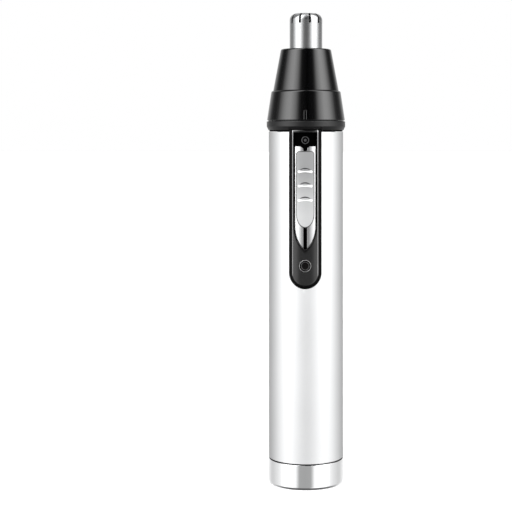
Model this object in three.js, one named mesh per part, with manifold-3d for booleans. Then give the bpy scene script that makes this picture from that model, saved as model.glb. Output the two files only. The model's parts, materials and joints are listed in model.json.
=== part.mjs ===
// A battery nose hair trimmer: a slim aluminium sleeve on a chromed foot, a black front panel with
// its on-off slider and charge light, and a twist-off cutter head with a slotted steel guard.
// Millimetres. Z runs up the trimmer's axis from the foot, and the panel is on the -Y side.

import * as THREE from "three";
import { mergeVertices } from "three/addons/utils/BufferGeometryUtils.js";
import Module from "manifold-3d";

const wasm = await Module();
wasm.setup();

// ---- Driving dimensions ----

const TUBE_R = 11; // outside of the sleeve and of the foot
const TUBE_BORE_R = 10.3;
const FOOT_TOP = 7.25;
const FOOT_SPIGOT_R = 10.05; // the part of the foot that plugs into the sleeve
const FOOT_SPIGOT_TOP = 11;
const FOOT_SEAL_HEIGHT = 9.2;
const SOCKET_R = 1.9; // the hole for the charging plug
const SLEEVE_BOTTOM = 7.65;
const SLEEVE_TOP = 103.6;
const COLLAR_R = 11.63;
const COLLAR_BOTTOM = 103.7;
const COLLAR_TOP = 106.7;

const HEAD_BOTTOM = 106.95; // the head's own heights start here
const SKIRT_HEIGHT = 8.75;
const SKIRT_FOOT_R = 11.57;
const SKIRT_TOP_R = 10.29;
const SKIRT_BORE_R = 9.2;
const CONE_SEAT = 8.95;
const CONE_FOOT_R = 9.73;
const CONE_TOP_R = 7.45;
const CONE_TOP = 21.15;
const GUARD_R = 4.83;
const GUARD_WALL = 0.35;
const GUARD_TOP = 31.7;
const GUARD_SLOTS = 10;
const GUARD_SLOT_WIDTH = 0.57;
const GUARD_SLOT_BOTTOM = 28.65;
const GUARD_SLOT_TURN = 14.4; // degrees from the front to the nearest slot

const PANEL_HALF_WIDTH = 4.6;
const PANEL_BOTTOM = 58.3;
const PANEL_TOP = 104.25;
const PANEL_FACE_R = 11.25;
const PANEL_BACK_R = 9.5;
const WINDOW_HALF_WIDTH = 3.42;
const WINDOW_TIP = 69.4;
const WINDOW_SHOULDER = 76.5;
const WINDOW_TOP = 103.5;
const POCKET_FLOOR_R = 10.2;
const INDICATOR_HEIGHT = 64.9;
const BEZEL_R = 1.86;
const BEZEL_BORE_R = 1.45;
const LENS_R = 1.2;
const LENS_FRONT = -11.3;

const BUTTON_HALF_WIDTH = 2.65;
const BUTTON_BOTTOM = 75.9;
const BUTTON_TOP = 98.05;
const BUTTON_FACE_R = 11.75;
const BUTTON_RIDGE_R = 12;
const RIDGE_HEIGHTS = [83.8, 87.95, 92.1];
const STEM_HALF = 0.3; // the slider's stem
const STEM_Z = [87.9, 90.1];
const PIN_HALF = 0.4; // the switch's pin
const PIN_Z = [84.9, 86.3];

const NECK_R = 8.6;
const NECK_TOP = 112;
const NECK_BORE_R = 4.2;
const NECK_SEAL_HEIGHT = 109.6;
const SEAL_THICKNESS = 0.6;
const SCREW_OFFSET = 6.4;

const TRAY_R = 9.9;
const TRAY_WALL = 1;
const TRAY_BOTTOM = 12.8;
const TRAY_TOP = 99.2;
const TRAY_FRONT = -4.5; // the tray is open in front of this plane
const CELL_R = 7.1;
const CELL_OFFSET = 1.5; // the cell sits behind the axis, clear of the circuit board
const CELL_BOTTOM = 17;
const CELL_TOP = 65;
const MOTOR_R = 6;
const MOTOR_FLAT = 5;
const MOTOR_BOTTOM = 72.3;
const MOTOR_TOP = 92.3;
const MAGNET_BOTTOM = 75;
const MAGNET_TOP = 89;
const SHAFT_R = 1;
const SHAFT_BOTTOM = 70.5;
const SHAFT_TOP = 104.5;
const COUPLING_R = 2.8;
const COUPLING_BOTTOM = 97.9;
const COUPLING_TOP = 109.5;
const COUPLING_SLOT_BOTTOM = 106.5;
const BOARD_FRONT = -6.7;
const BOARD_BACK = -5.9;
const CHIP_BACK = -7; // pieces on the board end this side of its front face

const SPINDLE_R = 1.2; // the spindle and the blade, in heights above the head's bottom edge
const SPINDLE_BOTTOM = 3.45;
const SPINDLE_TOP = 15.65;
const HUB_BOTTOM = 14.45;
const HUB_TOP = 19.05;
const BLADE_HALF_WIDTH = 4.15;
const BLADE_HALF_THICKNESS = 0.3;
const BLADE_BOTTOM = 17.05;
const BLADE_TOP = 31.1;

const WIDE = 12; // half the width of a cutting box: wider than the trimmer
const FRONT = -13; // a plane in front of the whole trimmer

const SHELL_SIDES = 40;
const MIDDLE_SIDES = 24;
const SMALL_SIDES = 12;

// ---- Materials ----

const finish = (color, roughness, metalness) =>
  new THREE.MeshStandardMaterial({ color, roughness, metalness });

const satinAluminium = finish(0xd9dadb, 0.32, 1);
const chrome = finish(0xf0f0f0, 0.08, 1);
const steel = finish(0xb9bbbd, 0.2, 1);
const brass = finish(0xc9a25a, 0.35, 1);
const glossBlack = finish(0x0b0b0c, 0.18, 0);
const satinBlack = finish(0x1b1b1d, 0.42, 0);
const silverPlastic = finish(0xbfc0c2, 0.38, 0.6);
const rubber = finish(0x151515, 0.85, 0);
const whiteNylon = finish(0xe4e2da, 0.5, 0);
const smokedLens = finish(0x16080a, 0.1, 0);
const boardGreen = finish(0x14502e, 0.5, 0);
const cellWrap = finish(0x3a7f52, 0.4, 0);
const ironGrey = finish(0x4a4a4d, 0.6, 0.6);
const redWire = finish(0xa31616, 0.5, 0);

// ---- Solids ----

// A closed geometry as a solid that can be joined and cut.
function solidOf(geometry) {
  const bare = geometry.clone();
  bare.deleteAttribute("normal");
  bare.deleteAttribute("uv");
  const merged = mergeVertices(bare, 1e-4);
  return new wasm.Manifold(
    new wasm.Mesh({
      numProp: 3,
      vertProperties: merged.attributes.position.array,
      triVerts: new Uint32Array(merged.index.array),
    }),
  );
}

// A named mesh of a solid, at a height in its group.
function part(name, solid, material, height = 0) {
  const mesh = solid.getMesh();
  const geometry = new THREE.BufferGeometry();
  geometry.setAttribute("position", new THREE.BufferAttribute(mesh.vertProperties, 3));
  geometry.setIndex(new THREE.BufferAttribute(mesh.triVerts, 1));
  geometry.computeVertexNormals();
  const made = new THREE.Mesh(geometry, material);
  made.name = name;
  made.position.z = height;
  return made;
}

// A profile of [radius, height] points turned about Z. It runs anticlockwise: up the outside.
function turned(profile, sides = SHELL_SIDES) {
  const points = profile.map(([r, z]) => new THREE.Vector2(r, z));
  if (profile[0][0] > 0) points.push(points[0].clone());
  const geometry = new THREE.LatheGeometry(points, sides);
  geometry.rotateX(Math.PI / 2);
  return solidOf(geometry);
}

// Points on an arc in a profile, from one angle to the other in degrees.
function arc(r, z, radius, from, to, steps) {
  return Array.from({ length: steps + 1 }, (_, i) => {
    const angle = THREE.MathUtils.degToRad(from + ((to - from) * i) / steps);
    return [r + radius * Math.cos(angle), z + radius * Math.sin(angle)];
  });
}

function ring(inner, outer, bottom, top, sides = SHELL_SIDES) {
  return turned([[inner, bottom], [outer, bottom], [outer, top], [inner, top]], sides);
}

function rod(radius, bottom, top, x = 0, y = 0, sides = SMALL_SIDES) {
  const geometry = new THREE.CylinderGeometry(radius, radius, top - bottom, sides);
  geometry.rotateX(Math.PI / 2);
  geometry.translate(x, y, (bottom + top) / 2);
  return solidOf(geometry);
}

// A round peg along Y, from a front plane to a back one.
function peg(radius, front, back, height, sides = MIDDLE_SIDES) {
  const geometry = new THREE.CylinderGeometry(radius, radius, back - front, sides);
  geometry.translate(0, (front + back) / 2, height);
  return solidOf(geometry);
}

function block([x0, x1], [y0, y1], [z0, z1]) {
  const geometry = new THREE.BoxGeometry(x1 - x0, y1 - y0, z1 - z0);
  geometry.translate((x0 + x1) / 2, (y0 + y1) / 2, (z0 + z1) / 2);
  return solidOf(geometry);
}

// An outline in X and Z made solid along Y, from a front plane to a back one.
function prism(shape, front, back, curveSegments = 8) {
  const settings = { depth: back - front, bevelEnabled: false, curveSegments };
  const geometry = new THREE.ExtrudeGeometry(shape, settings);
  geometry.rotateX(Math.PI / 2);
  geometry.translate(0, back, 0);
  return solidOf(geometry);
}

// A round wire along a curve, closed at both ends.
function wire(curve, radius, steps, sides = 8) {
  const rim = arc(0, 0, radius, 0, 360 - 360 / sides, sides - 1);
  const section = new THREE.Shape(rim.map(([x, y]) => new THREE.Vector2(x, y)));
  const settings = { steps, extrudePath: curve, bevelEnabled: false };
  return solidOf(new THREE.ExtrudeGeometry(section, settings));
}

// A coil that climbs from one height to another while its radius changes evenly.
class Coil extends THREE.Curve {
  constructor(startRadius, endRadius, bottom, top, turns, y = 0) {
    super();
    Object.assign(this, { startRadius, endRadius, bottom, top, turns, y });
  }

  getPoint(t, target = new THREE.Vector3()) {
    const radius = THREE.MathUtils.lerp(this.startRadius, this.endRadius, t);
    const angle = 2 * Math.PI * this.turns * t;
    const height = THREE.MathUtils.lerp(this.bottom, this.top, t);
    return target.set(radius * Math.cos(angle), this.y + radius * Math.sin(angle), height);
  }
}

// Straight sides, and one round end at the bottom.
function tongueOutline(half, bottom, top) {
  const shape = new THREE.Shape();
  shape.moveTo(-half, top);
  shape.lineTo(-half, bottom + half);
  shape.absarc(0, bottom + half, half, Math.PI, 2 * Math.PI, false);
  shape.lineTo(half, top);
  return shape;
}

// Straight sides that bend in to a pen-nib point at the bottom, each on one arc.
function nibOutline(half, tip, shoulder, top) {
  const drop = shoulder - tip;
  const radius = (half * half + drop * drop) / (2 * half);
  const sweep = Math.acos((radius - half) / radius);
  const shape = new THREE.Shape();
  shape.moveTo(-half, top);
  shape.lineTo(-half, shoulder);
  shape.absarc(radius - half, shoulder, radius, Math.PI, Math.PI + sweep, false);
  shape.absarc(half - radius, shoulder, radius, -sweep, 0, false);
  shape.lineTo(half, top);
  return shape;
}

// ---- The foot ----

// The chromed ring that the trimmer stands on, with a spigot that plugs into the sleeve.
function baseRing() {
  const fillet = 0.9;
  const chamfer = 0.15;
  const lipR = 8.4; // the lip that holds the plate
  const lipTop = 2.4;
  const boreR = 9;
  const grooveR = 9.55;
  const grooveHalf = 0.4;
  return turned([
    [lipR, 0],
    ...arc(TUBE_R - fillet, fillet, fillet, -90, 0, 3),
    [TUBE_R, FOOT_TOP - chamfer],
    [TUBE_R - chamfer, FOOT_TOP],
    [FOOT_SPIGOT_R, FOOT_TOP],
    [FOOT_SPIGOT_R, FOOT_SEAL_HEIGHT - grooveHalf],
    [grooveR, FOOT_SEAL_HEIGHT - grooveHalf],
    [grooveR, FOOT_SEAL_HEIGHT + grooveHalf],
    [FOOT_SPIGOT_R, FOOT_SEAL_HEIGHT + grooveHalf],
    [FOOT_SPIGOT_R, FOOT_SPIGOT_TOP],
    [boreR, FOOT_SPIGOT_TOP],
    [boreR, lipTop],
    [lipR, lipTop],
  ]);
}

// The black disc inside the ring, with the hole for the charging plug.
function basePlate() {
  const recess = 0.4; // above the surface that the trimmer stands on
  const step = 2.7;
  const top = 4.2;
  const faceR = 8.1;
  const rimR = 8.7;
  return turned([
    [SOCKET_R, recess],
    [faceR, recess],
    [faceR, step],
    [rimR, step],
    [rimR, top],
    [SOCKET_R, top],
  ]);
}

function oRing(radius, height) {
  return turned(arc(radius, height, SEAL_THICKNESS / 2, 0, 300, 5));
}

function chargeJack() {
  const outside = 3.4;
  const bottom = 4.5;
  const top = 12;
  const floor = 11;
  const pinHoleR = 0.95;
  return turned(
    [
      [SOCKET_R, bottom],
      [outside, bottom],
      [outside, top],
      [pinHoleR, top],
      [pinHoleR, floor],
      [SOCKET_R, floor],
    ],
    MIDDLE_SIDES,
  );
}

// ---- The sleeve, the collar and the neck ----

// The drawn aluminium tube, with a slot from its top edge that takes the panel.
function sleeve() {
  const gap = 0.15;
  const slot = tongueOutline(PANEL_HALF_WIDTH + gap, PANEL_BOTTOM - gap, SLEEVE_TOP + 5);
  const tube = ring(TUBE_BORE_R, TUBE_R, SLEEVE_BOTTOM, SLEEVE_TOP);
  return tube.subtract(prism(slot, FRONT, -6));
}

function collar() {
  const boreR = 8.9;
  const footR = 11.06;
  const chamferTop = 105.2;
  const roundWidth = 0.23;
  const roundHeight = 0.25;
  const band = turned([
    [boreR, COLLAR_BOTTOM],
    [footR, COLLAR_BOTTOM],
    [COLLAR_R, chamferTop],
    [COLLAR_R, COLLAR_TOP - roundHeight],
    [COLLAR_R - roundWidth, COLLAR_TOP],
    [boreR, COLLAR_TOP],
  ]);
  const notchHalf = PANEL_HALF_WIDTH + 0.25;
  const notchTop = PANEL_TOP + 0.3;
  return band.subtract(block([-notchHalf, notchHalf], [FRONT, -7], [COLLAR_BOTTOM - 1, notchTop]));
}

// The spigot that the head plugs onto. The drive coupling turns in its bore.
function neck() {
  const flangeR = 9.2;
  const flangeBottom = 99.5;
  const flangeTop = 103.4;
  const grooveR = 8.15;
  const grooveHalf = 0.5;
  const chamfer = 0.5;
  const turnedNeck = turned([
    [NECK_BORE_R, flangeBottom],
    [flangeR, flangeBottom],
    [flangeR, flangeTop],
    [NECK_R, flangeTop],
    [NECK_R, NECK_SEAL_HEIGHT - grooveHalf],
    [grooveR, NECK_SEAL_HEIGHT - grooveHalf],
    [grooveR, NECK_SEAL_HEIGHT + grooveHalf],
    [NECK_R, NECK_SEAL_HEIGHT + grooveHalf],
    [NECK_R, NECK_TOP - chamfer],
    [NECK_R - chamfer, NECK_TOP],
    [NECK_BORE_R, NECK_TOP],
  ]);
  const lugRing = ring(NECK_R - 0.4, NECK_R + 0.4, 107.2, 108.6);
  const lugs = lugRing.intersect(block([-WIDE, WIDE], [-1.5, 1.5], [107, 109]));
  const screwHoleR = 1;
  const counterboreR = 1.6;
  const counterboreBottom = 110.3;
  let made = turnedNeck.add(lugs);
  for (const x of [-SCREW_OFFSET, SCREW_OFFSET]) {
    made = made
      .subtract(rod(screwHoleR, flangeBottom - 0.5, NECK_TOP + 1, x))
      .subtract(rod(counterboreR, counterboreBottom, NECK_TOP + 1, x));
  }
  return made;
}

function neckScrew(x) {
  const shankR = 0.7;
  const shankBottom = 95.5;
  const headR = 1.3;
  const headBottom = 110.6;
  const headTop = 111.7;
  const crossHalf = 0.16;
  const crossReach = 0.8;
  const crossZ = [111.2, headTop + 0.3];
  const long = [x - crossReach, x + crossReach];
  const narrow = [x - crossHalf, x + crossHalf];
  return rod(shankR, shankBottom, headBottom + 0.4, x)
    .add(rod(headR, headBottom, headTop, x))
    .subtract(block(long, [-crossHalf, crossHalf], crossZ))
    .subtract(block(narrow, [-crossReach, crossReach], crossZ));
}

// ---- The front panel and what it carries ----

// The black inlay: it follows the tube's curve and has a nib-shaped pocket for the slider.
function frontPanel() {
  const outline = tongueOutline(PANEL_HALF_WIDTH, PANEL_BOTTOM, PANEL_TOP);
  const skin = ring(PANEL_BACK_R, PANEL_FACE_R, PANEL_BOTTOM - 1, PANEL_TOP + 1);
  const window = nibOutline(WINDOW_HALF_WIDTH, WINDOW_TIP, WINDOW_SHOULDER, WINDOW_TOP);
  const floor = rod(POCKET_FLOOR_R, WINDOW_TIP - 1, WINDOW_TOP + 1, 0, 0, SHELL_SIDES);
  const pocket = prism(window, FRONT, -9).subtract(floor);
  const stemSlot = block([-0.8, 0.8], [FRONT, -9], [81.5, 91.5]);
  const lensHole = peg(BEZEL_BORE_R, FRONT, -9, INDICATOR_HEIGHT);
  const bezelSeat = peg(BEZEL_R + 0.19, FRONT, -10.75, INDICATOR_HEIGHT);
  return skin
    .intersect(prism(outline, FRONT, -6))
    .subtract(pocket)
    .subtract(stemSlot)
    .subtract(lensHole)
    .subtract(bezelSeat);
}

// The bright nib-shaped plate at the bottom of the pocket, slit for the slider's stem.
function trackPlate() {
  const halfWidth = 3.14;
  const bottom = 69.75;
  const top = 99.4;
  const backR = 10.35;
  const faceR = 10.75;
  const slitHalf = 0.5;
  const mouthHalf = 0.95;
  const outline = nibOutline(halfWidth, bottom, WINDOW_SHOULDER, top);
  const slit = block([-slitHalf, slitHalf], [FRONT, -9], [bottom + 0.85, top + 1]);
  const mouth = block([-mouthHalf, mouthHalf], [FRONT, -9], [top - 0.7, top + 1]);
  return ring(backR, faceR, bottom - 1, top + 1)
    .intersect(prism(outline, FRONT, -9))
    .subtract(slit)
    .subtract(mouth);
}

function indicatorBezel() {
  const back = LENS_FRONT + 0.4;
  const disc = peg(BEZEL_R, LENS_FRONT, back, INDICATOR_HEIGHT);
  return disc.subtract(peg(BEZEL_BORE_R, LENS_FRONT - 1, back + 1, INDICATOR_HEIGHT));
}

function buttonOutline() {
  const corner = 0.9;
  const half = BUTTON_HALF_WIDTH;
  const roundHeight = 4.1;
  const shape = new THREE.Shape();
  shape.moveTo(-half, BUTTON_TOP - corner);
  shape.absellipse(0, BUTTON_BOTTOM + roundHeight, half, roundHeight, Math.PI, 2 * Math.PI);
  shape.absarc(half - corner, BUTTON_TOP - corner, corner, 0, Math.PI / 2, false);
  shape.absarc(corner - half, BUTTON_TOP - corner, corner, Math.PI / 2, Math.PI, false);
  return shape;
}

// An arched thumb ridge across the slider.
function ridgeOutline(height) {
  const half = 2.1;
  const rise = 1.1;
  const thick = 0.5;
  const shape = new THREE.Shape();
  shape.moveTo(-half, height - thick);
  shape.quadraticCurveTo(0, height - thick + rise, half, height - thick);
  shape.lineTo(half, height);
  shape.quadraticCurveTo(0, height + rise, -half, height);
  return shape;
}

// The thumb slider, with its stem through the slit.
function slideButton() {
  const backR = 11;
  const face = ring(backR, BUTTON_FACE_R, BUTTON_BOTTOM - 1, BUTTON_TOP + 1);
  const ridgeBand = ring(BUTTON_FACE_R - 0.3, BUTTON_RIDGE_R, BUTTON_BOTTOM, BUTTON_TOP);
  let made = face.intersect(prism(buttonOutline(), FRONT, -9));
  for (const height of RIDGE_HEIGHTS) {
    made = made.add(ridgeBand.intersect(prism(ridgeOutline(height), FRONT, -9, 6)));
  }
  return made.add(block([-STEM_HALF, STEM_HALF], [-11.3, -8.5], STEM_Z));
}

// The shoe that holds the slider to the panel from behind and pushes the switch's pin.
function sliderShoe() {
  const gap = 0.3;
  const [stemBottom, stemTop] = STEM_Z;
  const [pinBottom, pinTop] = PIN_Z;
  const stemHole = [-STEM_HALF - gap, STEM_HALF + gap];
  const pinHole = [-PIN_HALF - gap, PIN_HALF + gap];
  return block([-1.6, 1.6], [-9.1, -8.3], [83.5, 91])
    .subtract(block(stemHole, [-10, -8], [stemBottom - gap, stemTop + gap]))
    .subtract(block(pinHole, [-10, -8], [pinBottom - 0.4, pinTop + 0.4]));
}

// ---- The circuit board ----

function circuitBoard() {
  return block([-5.5, 5.5], [BOARD_FRONT, BOARD_BACK], [61, 99]);
}

// The switch's housing, with the slot that its pin travels in.
function switchBody() {
  const slotHalf = PIN_HALF + 0.3;
  const housing = block([-1.9, 1.9], [-8.05, BOARD_FRONT - 0.25], [78, 89]);
  return housing.subtract(block([-slotHalf, slotHalf], [-9, -7.4], [79, 88]));
}

// ---- The tray, the cell and the wiring ----

// A wall across the tray with a round seat in it. A seat radius of 0 leaves the wall whole.
function trayRib(bottom, thickness, seatRadius, seatOffset) {
  const wall = rod(TRAY_R - 0.5, bottom, bottom + thickness, 0, 0, MIDDLE_SIDES);
  if (seatRadius === 0) return wall;
  const seat = rod(seatRadius, bottom - 1, bottom + thickness + 1, 0, seatOffset, MIDDLE_SIDES);
  return wall.subtract(seat);
}

// The open-fronted tray that carries the cell and the motor inside the sleeve.
function chassisTray() {
  const seatGap = 0.3;
  const wallThickness = 1;
  const ribThickness = 1.2;
  const bossBottom = 94.7;
  const pilotR = 1;
  let made = ring(TRAY_R - TRAY_WALL, TRAY_R, TRAY_BOTTOM, TRAY_TOP);
  for (const bottom of [TRAY_BOTTOM, 67.5]) {
    made = made.add(trayRib(bottom, wallThickness, 0, 0));
  }
  for (const bottom of [26, 40, 54]) {
    made = made.add(trayRib(bottom, ribThickness, CELL_R + seatGap, CELL_OFFSET));
  }
  for (const bottom of [75, 88]) {
    made = made.add(trayRib(bottom, ribThickness, MOTOR_R + seatGap, 0));
  }
  for (const side of [-1, 1]) {
    const boss = block([4.8, 9.4], [-1.8, 1.8], [bossBottom, TRAY_TOP]);
    const placed = side < 0 ? boss.mirror([1, 0, 0]) : boss;
    const pilot = rod(pilotR, bossBottom - 0.7, TRAY_TOP + 0.8, side * SCREW_OFFSET);
    made = made.add(placed).subtract(pilot);
  }
  return made.intersect(block([-WIDE, WIDE], [TRAY_FRONT, WIDE], [0, TRAY_TOP + 1]));
}

function batterySpring() {
  const turns = 2.5;
  const wireR = 0.22;
  return wire(new Coil(4.4, 2.4, 14.9, 16.4, turns, CELL_OFFSET), wireR, 25, 5);
}

// One lead from the charging jack up the front corner of the tray to the board's edge.
function chargeLead(side) {
  const route = [
    [2.2, -4.3, 10],
    [3.6, -5.3, 13.5],
    [6.6, -5.3, 19],
    [7, -5.2, 26],
    [7, -5.2, 42],
    [7, -5.2, 56],
    [6.9, -5.8, 62],
    [6.3, -6.3, 66],
  ];
  const points = route.map(([x, y, z]) => new THREE.Vector3(side * x, y, z));
  const leadR = 0.4;
  return wire(new THREE.CatmullRomCurve3(points), leadR, 14);
}

// ---- The motor ----

function flatSided(solid, flat) {
  return solid.intersect(block([-WIDE, WIDE], [-flat, flat], [0, MOTOR_TOP + 1]));
}

// The drawn steel can: open below for the end cap, with a bearing hole on top.
function motorCan() {
  const wall = 0.5;
  const roof = 0.8;
  const bearingHoleR = 2.25;
  const outside = flatSided(
    rod(MOTOR_R, MOTOR_BOTTOM, MOTOR_TOP, 0, 0, MIDDLE_SIDES),
    MOTOR_FLAT,
  );
  const inside = flatSided(
    rod(MOTOR_R - wall, MOTOR_BOTTOM - 1, MOTOR_TOP - roof, 0, 0, MIDDLE_SIDES),
    MOTOR_FLAT - wall,
  );
  return outside.subtract(inside).subtract(rod(bearingHoleR, MOTOR_TOP - 2, MOTOR_TOP + 2));
}

function motorMagnet() {
  return flatSided(ring(3.9, 5.2, MAGNET_BOTTOM, MAGNET_TOP, MIDDLE_SIDES), MOTOR_FLAT - 0.8);
}

function motorEndCap() {
  return flatSided(ring(1.3, 5.7, 70, MOTOR_BOTTOM - 0.3, MIDDLE_SIDES), MOTOR_FLAT - 0.3);
}

// The wound core with its commutator, hollow for the shaft.
function motorArmature() {
  const boreR = SHAFT_R + 0.3;
  const commutatorR = 2;
  const coreR = 3.6;
  const bottom = 73;
  const coreBottom = 76;
  const top = 88;
  return turned(
    [
      [boreR, bottom],
      [commutatorR, bottom],
      [commutatorR, coreBottom],
      [coreR, coreBottom],
      [coreR, top],
      [boreR, top],
    ],
    SMALL_SIDES,
  );
}

// The nylon dog on the shaft. The spindle's tongue drops into its slot.
function driveCoupling() {
  const slotHalf = 0.8;
  const bore = rod(SHAFT_R + 0.3, COUPLING_BOTTOM - 0.9, SHAFT_TOP + 0.5);
  const slotZ = [COUPLING_SLOT_BOTTOM, COUPLING_TOP + 1.5];
  return rod(COUPLING_R, COUPLING_BOTTOM, COUPLING_TOP, 0, 0, MIDDLE_SIDES)
    .subtract(bore)
    .subtract(block([-4, 4], [-slotHalf, slotHalf], slotZ));
}

// ---- The head, in heights above its own bottom edge ----

// The outside of the lower cone at a height.
function skirtRadius(height) {
  const slope = (SKIRT_FOOT_R - SKIRT_TOP_R) / (SKIRT_HEIGHT - 0.8);
  return SKIRT_FOOT_R - slope * (height - 0.2);
}

// The lower cone, which the fingers twist, with a raised index mark at the front.
function headSkirt() {
  const chamfer = 0.2;
  const cone = turned([
    [SKIRT_BORE_R, 0],
    [SKIRT_FOOT_R - chamfer, 0],
    [SKIRT_FOOT_R, chamfer],
    [SKIRT_TOP_R, SKIRT_HEIGHT - 0.6],
    [SKIRT_TOP_R - 0.16, SKIRT_HEIGHT - 0.22],
    [SKIRT_TOP_R - 0.5, SKIRT_HEIGHT],
    [SKIRT_BORE_R, SKIRT_HEIGHT],
  ]);
  const proud = 0.15;
  const markHalf = 0.43;
  const markBottom = 0.3;
  const markTop = 3.1;
  const bandTop = markTop + 0.5;
  const markBand = turned([
    [SKIRT_BORE_R + 0.5, markBottom],
    [skirtRadius(markBottom) + proud, markBottom],
    [skirtRadius(bandTop) + proud, bandTop],
    [SKIRT_BORE_R + 0.5, bandTop],
  ]);
  const outline = tongueOutline(markHalf, -markTop, 0);
  const mark = prism(outline, FRONT, -9, 6).rotate([0, 180, 0]);
  return cone.add(markBand.intersect(mark));
}

// The upper cone, with a spigot into the skirt and a seat for the guard under its top wall.
function headCone() {
  const corner = 0.6;
  const spigotR = 8.9;
  const spigotBottom = 5.45;
  const lowerBoreR = 7.9;
  const middleBoreR = 7.1;
  const seatR = 6.3;
  const seatTop = 20.25;
  const mouthR = 5.15;
  return turned([
    [lowerBoreR, spigotBottom],
    [spigotR, spigotBottom],
    [spigotR, CONE_SEAT],
    [CONE_FOOT_R, CONE_SEAT],
    ...arc(CONE_TOP_R - corner, CONE_TOP - corner, corner, 10, 90, 3),
    [mouthR, CONE_TOP],
    [mouthR, seatTop],
    [seatR, seatTop],
    [seatR, 16.5],
    [middleBoreR, 15.7],
    [lowerBoreR, 11],
  ]);
}

// The fixed steel cap: a flanged tube with a rounded end and slots that let the hairs in.
function cutterGuard() {
  const round = 2;
  const inner = GUARD_R - GUARD_WALL;
  const flangeR = 6;
  const flangeBottom = 19.25;
  const flangeTop = 19.95;
  const slotHeadR = 1.5; // how near the axis the slots run in over the end
  let made = turned([
    [0, GUARD_TOP - GUARD_WALL],
    ...arc(GUARD_R - round, GUARD_TOP - round, round - GUARD_WALL, 90, 0, 3),
    [inner, flangeBottom],
    [flangeR, flangeBottom],
    [flangeR, flangeTop],
    [GUARD_R, flangeTop],
    ...arc(GUARD_R - round, GUARD_TOP - round, round, 0, 90, 3),
    [0, GUARD_TOP],
  ]);
  const outline = tongueOutline(GUARD_SLOT_WIDTH / 2, GUARD_SLOT_BOTTOM, GUARD_TOP + 1);
  const slot = prism(outline, -6, -slotHeadR, 3);
  for (let i = 0; i < GUARD_SLOTS; i++) {
    const turn = GUARD_SLOT_TURN + (360 / GUARD_SLOTS) * i;
    made = made.subtract(slot.rotate([0, 0, turn]));
  }
  return made;
}

// The carrier that the spindle runs in. It is round all over, so the head turns on it freely.
function spindleBush() {
  const boreR = SPINDLE_R + 0.3;
  const bossR = 3;
  const discR = 7.6;
  const bossBottom = 6.55;
  const discBottom = 7.55;
  const discTop = 9.55;
  const bossTop = 11.55;
  return turned(
    [
      [boreR, bossBottom],
      [bossR, bossBottom],
      [bossR, discBottom],
      [discR, discBottom],
      [discR, discTop],
      [bossR, discTop],
      [bossR, bossTop],
      [boreR, bossTop],
    ],
    MIDDLE_SIDES,
  );
}

// The steel spindle, with a collar and the flat tongue that the coupling turns.
function bladeSpindle() {
  const collarR = 2.2;
  const tongueHalf = 0.5;
  return rod(SPINDLE_R, SPINDLE_BOTTOM, SPINDLE_TOP)
    .add(rod(collarR, SPINDLE_BOTTOM, SPINDLE_BOTTOM + 0.8))
    .add(block([-collarR, collarR], [-tongueHalf, tongueHalf], [0.05, SPINDLE_BOTTOM + 0.15]));
}

function spindleSpring() {
  const coilR = 2.1;
  const turns = 3;
  const wireR = 0.2;
  return wire(new Coil(coilR, coilR, 12.1, 13.9, turns), wireR, 30, 5);
}

// The nylon hub: a blind bore below for the spindle, and a slot above for the blade's foot.
function bladeHub() {
  const hubR = 3.4;
  const boreTop = 16;
  const slotBottom = 16.7;
  const slotHalf = BLADE_HALF_THICKNESS + 0.3;
  return rod(hubR, HUB_BOTTOM, HUB_TOP, 0, 0, MIDDLE_SIDES)
    .subtract(rod(SPINDLE_R + 0.3, HUB_BOTTOM - 0.45, boreTop))
    .subtract(block([-4, 4], [-slotHalf, slotHalf], [slotBottom, HUB_TOP + 0.95]));
}

// The flat spinning blade: a foot in the hub and a sharpened frame that follows the guard.
function innerBlade() {
  const half = BLADE_HALF_WIDTH;
  const corner = 1.6;
  const footHalf = 2.8;
  const footTop = 19.5;
  const frameBottom = 20.5;
  const shape = new THREE.Shape();
  shape.moveTo(-footHalf, BLADE_BOTTOM);
  shape.lineTo(footHalf, BLADE_BOTTOM);
  shape.lineTo(footHalf, footTop);
  shape.lineTo(half, frameBottom);
  shape.absarc(half - corner, BLADE_TOP - corner, corner, 0, Math.PI / 2, false);
  shape.absarc(corner - half, BLADE_TOP - corner, corner, Math.PI / 2, Math.PI, false);
  shape.lineTo(-half, frameBottom);
  shape.lineTo(-footHalf, footTop);
  const opening = block([-2.4, 2.4], [-1, 1], [21.5, 29.6]);
  return prism(shape, -BLADE_HALF_THICKNESS, BLADE_HALF_THICKNESS, 4).subtract(opening);
}

// ---- Assembly ----

const trimmer = new THREE.Group();

const body = new THREE.Group();
body.add(
  part("base_ring", baseRing(), chrome),
  part("base_plate", basePlate(), satinBlack),
  part("base_seal", oRing(FOOT_SPIGOT_R - 0.1, FOOT_SEAL_HEIGHT), rubber),
  part("charge_jack", chargeJack(), satinBlack),
  part("jack_pin", rod(0.65, 2.2, 12.3), brass),
  part("sleeve", sleeve(), satinAluminium),
  part("collar", collar(), satinBlack),
  part("neck", neck(), satinBlack),
  part("neck_seal", oRing(NECK_R, NECK_SEAL_HEIGHT), rubber),
  part("neck_screw_left", neckScrew(-SCREW_OFFSET), steel),
  part("neck_screw_right", neckScrew(SCREW_OFFSET), steel),
  part("front_panel", frontPanel(), glossBlack),
  part("track_plate", trackPlate(), chrome),
  part("indicator_bezel", indicatorBezel(), satinBlack),
  part("indicator_lens", peg(LENS_R, LENS_FRONT, -8.2, INDICATOR_HEIGHT), smokedLens),
);

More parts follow.
